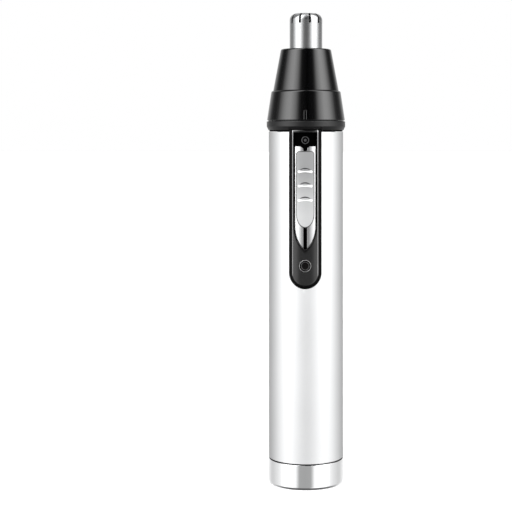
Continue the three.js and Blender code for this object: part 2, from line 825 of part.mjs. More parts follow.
const inside = new THREE.Group();
inside.add(
  part("chassis_tray", chassisTray(), satinBlack),
  part("battery_contact_lower", rod(5, 14.1, 14.4, 0, CELL_OFFSET, MIDDLE_SIDES), brass),
  part("battery_spring", batterySpring(), steel),
  part("battery_cell", rod(CELL_R, CELL_BOTTOM, CELL_TOP, 0, CELL_OFFSET, MIDDLE_SIDES), cellWrap),
  part("battery_terminal", rod(2.7, 65.3, 66.3, 0, CELL_OFFSET), steel),
  part("battery_contact_upper", block([-3, 3], [-1.5, 4.5], [66.6, 67]), brass),
  part("circuit_board", circuitBoard(), boardGreen),
  part("charge_chip", block([-2.5, 2.5], [-7.9, CHIP_BACK], [68.5, 72.5]), satinBlack),
  part("indicator_led", block([-0.8, 0.8], [-7.7, CHIP_BACK], [64.4, 65.4]), whiteNylon),
  part("switch_body", switchBody(), satinBlack),
  part("charge_lead_red", chargeLead(-1), redWire),
  part("charge_lead_black", chargeLead(1), rubber),
  part("motor_can", motorCan(), steel),
  part("motor_magnet", motorMagnet(), ironGrey),
  part("motor_end_cap", motorEndCap(), whiteNylon),
  part("motor_bearing", ring(1.25, 2, 91.3, 93.5, SMALL_SIDES), brass),
  part("motor_cushion", ring(2.6, 5.6, 93, 94.3, MIDDLE_SIDES), rubber),
);
body.add(inside);

const slider = new THREE.Group();
slider.add(
  part("slide_button", slideButton(), silverPlastic),
  part("slider_shoe", sliderShoe(), whiteNylon),
  part("switch_pin", block([-PIN_HALF, PIN_HALF], [-8.9, -7.6], PIN_Z), satinBlack),
);

const rotor = new THREE.Group();
rotor.add(
  part("motor_shaft", rod(SHAFT_R, SHAFT_BOTTOM, SHAFT_TOP), steel),
  part("motor_armature", motorArmature(), ironGrey),
  part("drive_coupling", driveCoupling(), whiteNylon),
);

const head = new THREE.Group();
head.position.z = HEAD_BOTTOM;
head.add(
  part("head_skirt", headSkirt(), glossBlack),
  part("head_cone", headCone(), glossBlack),
  part("cutter_guard", cutterGuard(), steel),
  part("guard_retainer", ring(5.1, 6, 16.95, 18.95, MIDDLE_SIDES), satinBlack),
  part("spindle_bush", spindleBush(), whiteNylon),
);

const blade = new THREE.Group();
blade.add(
  part("blade_spindle", bladeSpindle(), steel),
  part("spindle_spring", spindleSpring(), steel),
  part("blade_hub", bladeHub(), whiteNylon),
  part("inner_blade", innerBlade(), steel),
);
head.add(blade);

trimmer.add(body, slider, rotor, head);

export default trimmer;
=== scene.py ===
# A battery nose hair trimmer: a satin aluminium barrel on a chromed foot, a black front panel with a
# silver thumb slider, and a twist-off black head with a slotted steel guard. Sizes are in millimetres
# until a mesh is made. Z runs up the barrel's axis, and the panel faces -Y.
import json
import math

import bmesh
import bpy
import numpy as np
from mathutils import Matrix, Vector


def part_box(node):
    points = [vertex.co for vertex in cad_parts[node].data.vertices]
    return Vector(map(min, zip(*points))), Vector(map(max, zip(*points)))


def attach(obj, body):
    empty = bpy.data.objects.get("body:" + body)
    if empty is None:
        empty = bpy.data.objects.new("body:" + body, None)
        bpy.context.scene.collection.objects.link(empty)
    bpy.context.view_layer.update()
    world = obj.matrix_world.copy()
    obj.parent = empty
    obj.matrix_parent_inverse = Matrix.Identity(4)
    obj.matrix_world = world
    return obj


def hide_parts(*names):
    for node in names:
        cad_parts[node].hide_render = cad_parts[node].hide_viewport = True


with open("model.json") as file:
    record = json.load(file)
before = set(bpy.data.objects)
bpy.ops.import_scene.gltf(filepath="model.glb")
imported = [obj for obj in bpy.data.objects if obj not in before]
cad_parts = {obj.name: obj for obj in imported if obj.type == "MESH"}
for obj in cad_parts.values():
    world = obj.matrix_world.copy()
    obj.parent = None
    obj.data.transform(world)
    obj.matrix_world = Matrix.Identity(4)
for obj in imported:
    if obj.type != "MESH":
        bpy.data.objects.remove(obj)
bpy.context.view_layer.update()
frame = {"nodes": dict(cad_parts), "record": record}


# ---- Foot ring ----
# The bright ring that the trimmer stands on: a turned brass cap with mirror chrome plate. Its spigot
# plugs into the barrel and is painted near black above the seam: painted shade for the dark hairline
# where the two meet.

MM = 0.001
TURN_STEPS = 160
FILLET_STEPS = 6
SHARP_ANGLE = math.radians(40)
WELD = 2e-7
GRAIN_DEPTH = 0.00002


def rounded(corners, closed=True):
    """A profile with its corners rounded. Each corner is (radius, height, fillet): an arc of that
    fillet touches both sides of the corner, with a support point a little way along each side."""
    corner = np.array(corners, float)
    count = len(corner)
    made = []
    for i, (r, z, fillet) in enumerate(corner):
        here = np.array([r, z])
        if fillet == 0 or (not closed and i in (0, count - 1)):
            made.append(here[None])
            continue
        before = corner[i - 1, :2] - here
        after = corner[(i + 1) % count, :2] - here
        reach = min(np.linalg.norm(before), np.linalg.norm(after))
        before, after = before / np.linalg.norm(before), after / np.linalg.norm(after)
        half_angle = math.acos(np.clip(before @ after, -1, 1)) / 2
        run = min(fillet / math.tan(half_angle), 0.45 * reach)
        radius = run * math.tan(half_angle)
        inwards = (before + after) / np.linalg.norm(before + after)
        middle = here + inwards * radius / math.sin(half_angle)
        start, end = here + before * run - middle, here + after * run - middle
        first, last = math.atan2(start[1], start[0]), math.atan2(end[1], end[0])
        sweep = (last - first + math.pi) % (2 * math.pi) - math.pi
        angle = first + sweep * np.linspace(0, 1, FILLET_STEPS + 1)
        arc = middle + radius * np.stack([np.cos(angle), np.sin(angle)], 1)
        support = min(0.12 * run + 0.01, 0.04 * reach)
        made += [arc[:1] + before * support, arc, arc[-1:] + after * support]
    return np.concatenate(made)


def surface(name, grids, wrap_rows=False, wrap_columns=False, outward=True):
    """One object from grids of points (rows, columns, 3) in millimetres: a quad between every four
    neighbours, coincident points welded, and, on a closed body, the faces turned outwards."""
    vertices, faces, base = [], [], 0
    for grid in grids:
        rows, columns = grid.shape[:2]
        index = base + np.arange(rows * columns).reshape(rows, columns)
        if wrap_rows:
            index = np.vstack([index, index[:1]])
        if wrap_columns:
            index = np.hstack([index, index[:, :1]])
        quads = np.stack([index[:-1, :-1], index[:-1, 1:], index[1:, 1:], index[1:, :-1]], -1)
        vertices.append(grid.reshape(-1, 3) * MM)
        faces.append(quads.reshape(-1, 4))
        base += rows * columns
    mesh = bpy.data.meshes.new(name)
    mesh.from_pydata(np.concatenate(vertices).tolist(), [], np.concatenate(faces).tolist())
    work = bmesh.new()
    work.from_mesh(mesh)
    bmesh.ops.remove_doubles(work, verts=work.verts, dist=WELD)
    bmesh.ops.dissolve_degenerate(work, edges=work.edges, dist=WELD / 20)
    if outward:
        bmesh.ops.recalc_face_normals(work, faces=work.faces)
    work.to_mesh(mesh)
    work.free()
    mesh.shade_smooth()
    mesh.set_sharp_from_angle(angle=SHARP_ANGLE)
    made = bpy.data.objects.new(name, mesh)
    bpy.context.scene.collection.objects.link(made)
    return made


def turned(name, corners, closed=True, steps=TURN_STEPS):
    """A profile taken once round the axis: x = r sin a and y = -r cos a, with a from the front."""
    profile = rounded(corners, closed)
    angle = np.linspace(0, 2 * np.pi, steps, endpoint=False)[:, None]
    r, z = profile[None, :, 0], profile[None, :, 1]
    points = np.stack([r * np.sin(angle), -r * np.cos(angle), z + 0 * angle], -1)
    return surface(name, [points], True, closed)


def settle(piece, body, slot, material, *nodes):
    """Gives a new piece its material and its body, and hides the CAD nodes it stands for. The slot is
    not used.
    """
    piece.data.materials.append(material)
    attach(piece, body)
    if nodes:
        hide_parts(*nodes)


def paint(piece, material, where):
    """Gives a second material to the faces whose centres pass a test of x, y, z and the distance from
    the axis, all in millimetres."""
    faces = piece.data.polygons
    centres = np.empty(3 * len(faces))
    faces.foreach_get("center", centres)
    x, y, z = centres.reshape(-1, 3).T / MM
    chosen = where(x, y, z, np.hypot(x, y))
    piece.data.materials.append(material)
    index = np.zeros(len(faces), dtype=np.int32)
    faces.foreach_get("material_index", index)
    index[chosen] = len(piece.data.materials) - 1
    faces.foreach_set("material_index", index)


def span(node):
    """A CAD node's lowest and highest corners, in millimetres."""
    low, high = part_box(node)
    return np.array(low) / MM, np.array(high) / MM


def add_node(tree, kind, inputs=(), **settings):
    """A shader node. Each input is a pair: its name or number, and a value or the socket to link."""
    made = tree.nodes.new("ShaderNode" + kind)
    for name, value in settings.items():
        setattr(made, name, value)
    for name, value in dict(inputs).items():
        if isinstance(value, bpy.types.NodeSocket):
            tree.links.new(value, made.inputs[name])
        else:
            made.inputs[name].default_value = value
    return made


def maths(tree, operation, *inputs):
    """The result of a maths node, from sockets and numbers in order."""
    return add_node(tree, "Math", enumerate(inputs), operation=operation).outputs[0]


def marks_group():
    """What every finish shares, worked out from the place on the piece. Grain is fine noise about 0.5,
    Soft is slow mottling about 0.5, and Scratch is 1 on a few hairlines and 0 elsewhere."""
    group = bpy.data.node_groups.new("surface_marks", "ShaderNodeTree")
    for name, kind in (("Grain scale", "Float"), ("Soft scale", "Float"), ("Scratch share", "Float"),
                       ("Stretch", "Vector")):
        group.interface.new_socket(name, in_out="INPUT", socket_type="NodeSocket" + kind)
    for name in ("Grain", "Soft", "Scratch"):
        group.interface.new_socket(name, in_out="OUTPUT", socket_type="NodeSocketFloat")
    given = group.nodes.new("NodeGroupInput").outputs
    place = add_node(group, "TexCoord").outputs["Object"]
    stretched = add_node(group, "VectorMath", {0: place, 1: given["Stretch"]}, operation="MULTIPLY")
    grain = add_node(group, "TexNoise", {
        "Vector": stretched.outputs[0], "Scale": given["Grain scale"], "Detail": 2,
    })
    soft = add_node(group, "TexNoise", {"Vector": place, "Scale": given["Soft scale"], "Detail": 3})
    tilted = add_node(group, "Mapping", {
        "Vector": place, "Rotation": (0.5, 0.35, 0.9), "Scale": (900, 900, 60),
    })
    hair = add_node(group, "TexNoise", {"Vector": tilted.outputs[0], "Scale": 1, "Detail": 0})
    off_middle = maths(group, "ABSOLUTE", maths(group, "SUBTRACT", hair.outputs["Fac"], 0.5))
    reach = maths(group, "MULTIPLY", given["Scratch share"], 0.12)
    sink = group.nodes.new("NodeGroupOutput").inputs
    group.links.new(grain.outputs["Fac"], sink["Grain"])
    group.links.new(soft.outputs["Fac"], sink["Soft"])
    group.links.new(maths(group, "LESS_THAN", off_middle, reach), sink["Scratch"])
    return group


MARKS = marks_group()


def finish(name, colour, roughness, metallic=0.0, grain=4000, soft=120, stretch=(1, 1, 1), depth=0.0,
           shade=0.06, spread=0.05, scratch=0.03, scratch_gloss=0.12, sockets=None):
    """A material from the shared marks. Grain and mottling shade the colour by shade and move the
    roughness by spread, scratches add scratch_gloss to the roughness, and grain is bumped by depth.
    Sockets are any other values of the shader."""
    made = bpy.data.materials.new(name)
    made.use_nodes = True
    tree = made.node_tree
    shader = tree.nodes["Principled BSDF"].inputs
    for socket, value in {"Metallic": metallic, **(sockets or {})}.items():
        shader[socket].default_value = value
    marks = add_node(tree, "Group", {
        "Grain scale": grain, "Soft scale": soft, "Stretch": stretch, "Scratch share": scratch,
    }, node_tree=MARKS).outputs
    mean = maths(tree, "MULTIPLY", maths(tree, "ADD", marks["Grain"], marks["Soft"]), 0.5)

    def spread_over(low, high):
        """Noise from 0.3 to 0.7 stretched to run from low to high."""
        return add_node(tree, "MapRange", {
            "Value": mean, "From Min": 0.3, "From Max": 0.7, "To Min": low, "To Max": high,
        }).outputs[0]

    shaded = add_node(tree, "VectorMath", {0: colour, "Scale": spread_over(1 - shade, 1 + shade)},
                      operation="SCALE")
    tree.links.new(shaded.outputs[0], shader["Base Color"])
    gloss = spread_over(max(roughness - spread, 0.01), roughness + spread)
    worn = maths(tree, "MULTIPLY_ADD", marks["Scratch"], scratch_gloss, gloss)
    tree.links.new(worn, shader["Roughness"])
    if depth:
        relief = add_node(tree, "Bump", {
            "Strength": depth, "Distance": GRAIN_DEPTH, "Height": marks["Grain"],
        })
        tree.links.new(relief.outputs[0], shader["Normal"])
    return made


def scale_colour(material, factor):
    """Multiplies a material's colour by what a socket of its tree gives."""
    tree = material.node_tree
    colour = tree.nodes["Principled BSDF"].inputs["Base Color"]
    scaled = add_node(tree, "VectorMath", {0: colour.links[0].from_socket, "Scale": factor},
                      operation="SCALE")
    tree.links.new(scaled.outputs[0], colour)


FOOT_R = span("base_ring")[1][0]
FOOT_LIP_R = 8.4
FOOT_LIP_TOP = 2.4
FOOT_BORE_R = 9
SEAM_LOW = 7.25
SPIGOT_R = 10.05
SPIGOT_TOP = span("base_ring")[1][2]
PLATED_RIM = 0.12

chrome = finish("mirror_chrome", (0.9, 0.905, 0.91), 0.06, 1.0, grain=9000, shade=0.01,
                spread=0.02, scratch=0.02, scratch_gloss=0.1)
foot = turned("foot_ring", [
    (FOOT_LIP_R, 0, 0.15), (FOOT_R, 0, 0.9), (FOOT_R, SEAM_LOW, 0.07), (SPIGOT_R, SEAM_LOW, 0.05),
    (SPIGOT_R, SPIGOT_TOP, 0.2), (FOOT_BORE_R, SPIGOT_TOP, 0.2), (FOOT_BORE_R, FOOT_LIP_TOP, 0.1),
    (FOOT_LIP_R, FOOT_LIP_TOP, 0.1),
])
settle(foot, "root", "chrome_plate", chrome, "base_ring")
# Painted shade: the spigot's faces above the seam are near black, for the dark hairline in the gap.
seam_shade = finish("painted_seam_shade", (0.006, 0.006, 0.006), 0.6, grain=3000, shade=0.2, spread=0.08,
                scratch=0)
paint(foot, seam_shade, lambda x, y, z, r: (z > SEAM_LOW - 0.02) & (r < FOOT_R - PLATED_RIM))


# ---- Foot plate and charging socket ----
# The recessed disc that closes the foot, moulded in satin black ABS. A round socket in its middle
# takes the charging plug, with a turned brass pin at its heart.

SOCKET_R = 1.9
SOCKET_BORE_R = 0.95
SOCKET_SEAT = 11
plate_low, plate_high = span("base_plate")

satin_black = finish("satin_black_plastic", (0.003, 0.003, 0.0032), 0.36, grain=5200, shade=0.12,
                     spread=0.06, depth=0.35, sockets={"IOR": 1.4})
plate = turned("foot_plate", [
    (SOCKET_R, plate_low[2], 0.25), (3.0, plate_low[2], 0.1), (3.2, 0.65, 0.1), (4.0, 0.65, 0.1),
    (4.2, plate_low[2], 0.1), (8.1, plate_low[2], 0.3), (8.1, 2.7, 0.1), (plate_high[0], 2.7, 0.1),
    (plate_high[0], plate_high[2], 0.1), (SOCKET_R, plate_high[2], 0.1),
])
settle(plate, "root", "satin_black_plastic", satin_black, "base_plate")

jack_low, jack_high = span("charge_jack")
jack = turned("charging_socket", [
    (SOCKET_R, jack_low[2], 0.1), (jack_high[0], jack_low[2], 0.2), (jack_high[0], jack_high[2], 0.2),
    (SOCKET_BORE_R, jack_high[2], 0.1), (SOCKET_BORE_R, SOCKET_SEAT, 0.05),
    (SOCKET_R, SOCKET_SEAT, 0.1),
], steps=64)
settle(jack, "root", "satin_black_plastic", satin_black, "charge_jack")

pin_low, pin_high = span("jack_pin")
brass = finish("contact_brass", (0.7, 0.5, 0.22), 0.28, 1.0, grain=3000, stretch=(1, 1, 6),
               shade=0.1, spread=0.08)
pin = turned("socket_pin", [
    (0, pin_low[2], 0), (pin_high[0], pin_low[2], 0.4), (pin_high[0], pin_high[2], 0.1),
    (0, pin_high[2], 0),
], closed=False, steps=48)
settle(pin, "root", "contact_brass", brass, "jack_pin")


# ---- Foot seal ----
# A rubber ring in a groove of the foot's spigot. It keeps water out of the barrel and holds the foot
# by friction.

rubber = finish("black_rubber", (0.025, 0.025, 0.025), 0.75, grain=2500, shade=0.25, spread=0.1,
                depth=0.3, scratch=0)


def seal(name, node):
    """A ring of round section that fills the node's box."""
    low, high = span(node)
    thick = high[2] - low[2]
    middle, height, half = high[0] - thick / 2, (low[2] + high[2]) / 2, thick / 2
    square = [(middle - half, height - half), (middle + half, height - half),
              (middle + half, height + half), (middle - half, height + half)]
    ring = turned(name, [(r, z, half * 0.99) for r, z in square])
    settle(ring, "root", "black_rubber", rubber, node)


seal("foot_seal", "base_seal")


# ---- Barrel ----
# The long sleeve: drawn aluminium tube, fine-blasted and clear anodised to a soft satin. A slot runs
# down from its top edge for the panel, and all of its edges are lightly chamfered.

BARREL_R = span("sleeve")[1][0]
BARREL_WALL = 0.7
SEAM_HIGH = span("sleeve")[0][2]
BARREL_TOP = span("sleeve")[1][2]
PANEL_HALF = span("front_panel")[1][0]
PANEL_LOW = span("front_panel")[0][2]
PANEL_HIGH = span("front_panel")[1][2]
PANEL_GAP = 0.12
SIDE_SHADE = 0.5
BARREL_CHAMFER = 0.07
CHAMFER_ANGLE = math.radians(50)

# Painted shade: the satin's colour darkens by up to SIDE_SHADE as the wall turns away from the viewer.
satin_metal = finish("satin_aluminium", (0.76, 0.764, 0.768), 0.64, 1.0, grain=6500, soft=60,
                     stretch=(1, 1, 0.25), shade=0.025, spread=0.03, depth=0.12, scratch=0.01,
                     scratch_gloss=0.05, sockets={"Specular Tint": (0.8, 0.8, 0.8, 1)})
satin_tree = satin_metal.node_tree
turned_away = add_node(satin_tree, "LayerWeight", {"Blend": 0.5}).outputs["Facing"]
scale_colour(satin_metal, maths(satin_tree, "MULTIPLY_ADD", turned_away, -SIDE_SHADE, 1))


def edged(piece, wall, width, inside_shade):
    """Thickens an open sheet inwards, chamfers its edges softly, and gives its inside and cut edges a
    second, dark material: painted shade.
    """
    solid = piece.modifiers.new("wall", "SOLIDIFY")
    solid.thickness, solid.offset = wall * MM, -1
    piece.data.materials.append(inside_shade)
    solid.material_offset = solid.material_offset_rim = 1
    soft = piece.modifiers.new("edges", "BEVEL")
    soft.width, soft.segments, soft.angle_limit = width * MM, 3, CHAMFER_ANGLE
    soft.limit_method, soft.harden_normals = "ANGLE", True


def barrel_sheet():
    """The tube's outside. Each row is a height, and its columns run round the back from one edge of
    the slot to the other. The slot's half width is h, then sqrt(h^2 - d^2) over its round end."""
    half = PANEL_HALF + PANEL_GAP
    middle = PANEL_LOW - PANEL_GAP + half
    turn = np.linspace(0, np.pi / 2, 28)
    below = np.linspace(SEAM_HIGH, middle - half, 30)[:-1]
    above = np.linspace(middle, BARREL_TOP, 22)[1:]
    z = np.concatenate([below, middle - half * np.cos(turn), above])
    width = np.concatenate([0 * below, half * np.sin(turn), half + 0 * above])
    start = np.arcsin(width / BARREL_R)[:, None]
    angle = start + (2 * np.pi - 2 * start) * np.linspace(0, 1, 193)[None]
    height = z[:, None] + 0 * angle
    return np.stack([BARREL_R * np.sin(angle), -BARREL_R * np.cos(angle), height], -1)


# Painted shade: the barrel's inside and cut edges are dark, for the shade in the tube and in its seams.
barrel_inside_shade = finish("barrel_inside_shade", (0.05, 0.05, 0.05), 0.6, 0.5, grain=3000, shade=0.15,
                       spread=0.06)
barrel = surface("barrel", [barrel_sheet()], outward=False)
settle(barrel, "root", "satin_aluminium", satin_metal, "sleeve")
edged(barrel, BARREL_WALL, BARREL_CHAMFER, barrel_inside_shade)


# ---- Inner tray, cell, board and motor ----
# What the barrel hides: a satin black tray with the wrapped cell, its brass contacts and spring, the
# green board with its switch and light, the two charging leads, and the small motor.

nylon = finish("natural_nylon", (0.78, 0.76, 0.7), 0.45, grain=1500, shade=0.05, spread=0.05,
               sockets={"Subsurface Weight": 0.15, "Subsurface Scale": 0.001})
bright_steel = finish("polished_steel", (0.62, 0.63, 0.64), 0.16, 1.0, grain=5000,
                      stretch=(0.1, 0.1, 1), shade=0.04, spread=0.04, depth=0.05)
motor_steel = finish("plated_steel", (0.5, 0.51, 0.52), 0.3, 1.0, grain=2500, shade=0.08, spread=0.08)
iron = finish("sintered_iron", (0.09, 0.09, 0.1), 0.6, 0.6, grain=3500, shade=0.3, spread=0.1,
              depth=0.4)
cell_wrap = finish("cell_wrap", (0.05, 0.26, 0.12), 0.35, grain=900, shade=0.06, spread=0.05)
laminate = finish("board_laminate", (0.01, 0.12, 0.05), 0.4, grain=1300, stretch=(1, 1, 0.2),
                  shade=0.3, spread=0.1, depth=0.2)
red_cover = finish("red_insulation", (0.4, 0.015, 0.012), 0.45, grain=1200, shade=0.08, spread=0.06)

HIDDEN_FINISHES = {
    "satin_black_plastic": satin_black, "contact_brass": brass, "polished_steel": bright_steel,
    "cell_can": cell_wrap, "board_laminate": laminate, "white_nylon": nylon, "motor_steel": motor_steel,
    "sintered_iron": iron, "red_insulation": red_cover, "black_rubber": rubber,
}
slot_of = {part["node"]: part["material_slot"] for part in frame["record"]["subparts"]}
HIDDEN_NODES = (
    "chassis_tray", "battery_contact_lower", "battery_spring", "battery_cell", "battery_terminal",
    "battery_contact_upper", "circuit_board", "charge_chip", "indicator_led", "switch_body",
    "charge_lead_red", "charge_lead_black", "motor_can", "motor_magnet", "motor_end_cap",
    "motor_bearing", "motor_cushion", "motor_armature", "slider_shoe", "switch_pin",
    "guard_retainer", "blade_hub", "spindle_spring", "neck_screw_left", "neck_screw_right",
)
for node in HIDDEN_NODES:
    shown = frame["nodes"][node]
    shown.data.materials.clear()
    shown.data.materials.append(HIDDEN_FINISHES[slot_of[node]])


# ---- Front panel ----
# The long inlay: ABS that follows the barrel's curve. A soft black border runs round a cushion of piano
# gloss with a rounded edge, and a pocket shaped like a pen nib holds the slider.

WINDOW_HALF = 3.47
WINDOW_TIP = 69.4
WINDOW_SHOULDER = 76.5
WINDOW_HIGH = 103.5
NIB_ROUND = 0.4
PANEL_BACK_R = 9.6
FIELD_R = 11.25
BORDER_R = 11.0
POCKET_R = 10.2
BORDER_WIDTH = 0.78
CUSHION_EDGE = 0.3
CUSHION_LEVEL = 0.004
STATIONS = {"top": 12, "side": 40, "lower": 30, "end": 26}

piano_black = finish("piano_black", (0.0015, 0.0015, 0.0016), 0.1, grain=500, soft=90, shade=0.15,
                     spread=0.03, depth=0.03, scratch=0.012, scratch_gloss=0.1, sockets={"IOR": 1.72})
soft_black = finish("soft_black", (0.0012, 0.0012, 0.0012), 0.35, grain=5000, shade=0.15, spread=0.06,
                    depth=0.1, scratch=0, sockets={"IOR": 1.14})
deep_black_and_gap_shade = finish("deep_black_and_gap_shade", (0.0004, 0.0004, 0.0004), 0.5, grain=4000, shade=0.2, spread=0.08,
                    scratch=0, sockets={"IOR": 1.04})
edge_highlight_black = finish("painted_edge_highlight", (0.3, 0.3, 0.303), 0.14, 0.9, grain=3000, shade=0.1, spread=0.03,
                    scratch=0)


def closed_loop(left):
    """The left half of an outline, from its top middle to its bottom middle, with its mirror image."""
    right = left[-2:0:-1] * [-1, 1]
    return np.concatenate([left, right])


def straight(start, end, count):
    """Points from start up to, but not at, end."""
    return np.linspace(start, end, count, endpoint=False)


def bow(middle, radius, first, last, count, last_too=False):
    """Points on a circle between two angles."""
    angle = np.linspace(first, last, count, endpoint=last_too)
    return np.stack([middle[0] + radius * np.cos(angle), middle[1] + radius * np.sin(angle)], 1)


def tongue_loop(inset, top_inset):
    """The panel's outline, straight-sided with a round bottom end, drawn inset within its own edge."""
    centre = (0, PANEL_LOW + PANEL_HALF)
    half, high = PANEL_HALF - inset, PANEL_HIGH - top_inset
    return closed_loop(np.concatenate([
        straight((0, high), (-half, high), STATIONS["top"]),
        straight((-half, high), (-half, WINDOW_SHOULDER), STATIONS["side"]),
        straight((-half, WINDOW_SHOULDER), (-half, centre[1]), STATIONS["lower"]),
        bow(centre, half, np.pi, 1.5 * np.pi, STATIONS["end"], True),
    ]))


def nib_loop(inset):
    """The pocket's outline: straight sides that bend in on one arc each to a rounded nib point."""
    drop = WINDOW_SHOULDER - WINDOW_TIP
    radius = (WINDOW_HALF ** 2 + drop ** 2) / (2 * WINDOW_HALF)
    middle = (radius - WINDOW_HALF, WINDOW_SHOULDER)
    half, high = WINDOW_HALF - inset, WINDOW_HIGH - inset
    reach = radius - inset - NIB_ROUND
    tip_drop = math.sqrt(reach ** 2 - middle[0] ** 2)
    sweep = math.atan2(tip_drop, middle[0])
    return closed_loop(np.concatenate([
        straight((0, high), (-half, high), STATIONS["top"]),
        straight((-half, high), (-half, WINDOW_SHOULDER), STATIONS["side"]),
        bow(middle, radius - inset, np.pi, np.pi + sweep, STATIONS["lower"]),
        bow((0, WINDOW_SHOULDER - tip_drop), NIB_ROUND, np.pi + sweep, 1.5 * np.pi, STATIONS["end"],
            True),
    ]))


def on_barrel(loop, radius):
    """An outline in x and z laid on a cylinder about the axis: y = -sqrt(radius^2 - x^2)."""
    x, z = loop[..., 0], loop[..., 1]
    return np.stack([x, -np.sqrt(np.maximum(radius ** 2 - x ** 2, 0)), z], -1)


def spine(loop, low, high):
    """An outline drawn in to its middle line."""
    return np.stack([0 * loop[:, 0], np.clip(loop[:, 1], low, high)], 1)


def panel_rings():
    """Rings from the middle of the panel's back, round its edge, over the border and the cushion's
    quarter-round edge, across the cushion, and down into the pocket."""
    edge = tongue_loop(0, 0)
    back = spine(edge, PANEL_LOW + 3, PANEL_HIGH - 3)
    rings = [on_barrel(loop, PANEL_BACK_R) for loop in (back, (back + edge) / 2, edge)]
    for inset, fall in ((0, 0.4), (0, 0.1), (0.03, 0.03), (0.1, 0), (0.4, 0), (BORDER_WIDTH - 0.02, 0)):
        rings.append(on_barrel(tongue_loop(inset, 0.08 * inset), BORDER_R - fall))
    for turn in np.linspace(0, np.pi / 2, 9):
        run = CUSHION_EDGE * (1 - math.cos(turn))
        loop = tongue_loop(BORDER_WIDTH + run, 0.07 + run)
        rings.append(on_barrel(loop, BORDER_R + (FIELD_R - BORDER_R) * math.sin(turn)))
    inner = tongue_loop(BORDER_WIDTH + CUSHION_EDGE + 0.02, CUSHION_EDGE + 0.1)
    rim = nib_loop(-0.05)
    for share in np.linspace(0, 1, 9):
        rings.append(on_barrel(inner + (rim - inner) * share, FIELD_R))
    for inset, fall in ((-0.02, 0.015), (0.0, 0.05), (0.01, 0.1), (0.02, 0.4)):
        rings.append(on_barrel(nib_loop(inset), FIELD_R - fall))
    floor = nib_loop(0.03)
    rings.append(on_barrel(floor, POCKET_R))
    middle = spine(floor, WINDOW_TIP + 2, WINDOW_HIGH - 2)
    for share in (0.25, 0.5, 0.75, 1):
        rings.append(on_barrel(floor + (middle - floor) * share, POCKET_R))
    return np.stack(rings)


panel = surface("front_panel_inlay", [panel_rings()], False, True)
settle(panel, "root", "gloss_black_plastic", piano_black, "front_panel")
paint(panel, soft_black, lambda x, y, z, r: r < BORDER_R + 0.01)
# Painted highlight: the cushion's quarter-round edge gets a bright metallic finish for the light line
# round the cushion.
paint(panel, edge_highlight_black, lambda x, y, z, r: (
    (r > BORDER_R + 0.01) & (r < FIELD_R - CUSHION_LEVEL) & (z < PANEL_HIGH)
    & (np.abs(x) > WINDOW_HALF + 0.1)
))
paint(panel, deep_black_and_gap_shade, lambda x, y, z, r: (
    (r < POCKET_R + 0.3) & (y < 0.2 - PANEL_BACK_R) & (np.abs(x) < WINDOW_HALF)
))


# ---- Slide track ----
# The bright plate at the bottom of the pocket: two satin-chromed prongs, one each side of the slit that
# the slider's stem runs in. Their top ends curve away from the slit.

TRACK_CLEARANCE = 0.11
TRACK_HALF = WINDOW_HALF - TRACK_CLEARANCE
TRACK_TOP = span("track_plate")[1][2]
TRACK_LOW_R = 10.35
TRACK_R = 10.8
TRACK_BEND = 6.4
SLIT_HALF = 0.58
FLARE_HEIGHT = 1.1
FLARE_WIDTH = 0.8

satin_chrome = finish("satin_chrome", (0.64, 0.644, 0.648), 0.2, 1.0, grain=8000, shade=0.02,
                      spread=0.04, scratch=0.02)


def slab(name, top, bottom):
    """A closed body between two grids of the same shape, with a wall round their edges."""
    def rim(grid):
        """A grid's edge points, once round from its first corner."""
        return np.concatenate([grid[0], grid[1:, -1], grid[-1, -2::-1], grid[-2:0:-1, 0]])
    wall = np.stack([rim(top), rim(bottom)])
    wall = np.concatenate([wall, wall[:, :1]], 1)
    return surface(name, [top, bottom, wall])


def prong(side):
    """One prong. Each row is a height, and its columns run from the slit to the nib's arc. Its face
    bends back as y = x^2 / (2 bend) - r, and is rounded off at both edges."""
    drop = WINDOW_SHOULDER - WINDOW_TIP - 0.1
    radius = (TRACK_HALF ** 2 + drop ** 2) / (2 * TRACK_HALF)
    sweep = math.acos((radius - TRACK_HALF + SLIT_HALF + 0.02) / radius)
    angle = np.linspace(sweep, 0, 40)
    above = np.linspace(WINDOW_SHOULDER, TRACK_TOP, 70)[1:]
    z = np.concatenate([WINDOW_SHOULDER - radius * np.sin(angle), above])
    outer = np.concatenate([radius * np.cos(angle) - radius + TRACK_HALF, TRACK_HALF + 0 * above])
    flare = np.clip((z - TRACK_TOP) / FLARE_HEIGHT + 1, 0, 1)
    inner = SLIT_HALF + FLARE_WIDTH * (1 - np.sqrt(1 - flare ** 2))
    near_edge = np.linspace(0, 0.04, 4)
    share = np.concatenate([near_edge, np.linspace(0.08, 0.92, 22), 0.96 + near_edge])
    x = inner[:, None] + np.maximum(outer - inner, 0)[:, None] * share
    from_slit, from_edge = x - inner[:, None], outer[:, None] - x
    fall = 0.02 * np.clip(1 - from_slit / 0.06, 0, 1) ** 2
    fall += 0.05 * np.clip(1 - from_edge / 0.08, 0, 1) ** 2
    height = z[:, None] + 0 * x
    face, under = TRACK_R - fall, TRACK_LOW_R + 0 * fall
    return [np.stack([side * x, x ** 2 / (2 * bend) - r, height], -1)
            for r, bend in ((face, TRACK_BEND), (under, TRACK_LOW_R))]


for side, label in ((-1, "left"), (1, "right")):
    half_track = slab("slide_track_" + label, *prong(side))
    settle(half_track, "root", "chrome_plate", satin_chrome, "track_plate")


# ---- Thumb slider ----
# The silver on-off slider, moulded in grey ABS and sprayed on its face with a metallic lacquer, its
# colour painted lighter downwards as painted shade. Three thumb grips cross it, each a raised lip thick
# at both ends, painted bright as a painted highlight, with a crescent cut above it and painted dark
# grey as painted shade.

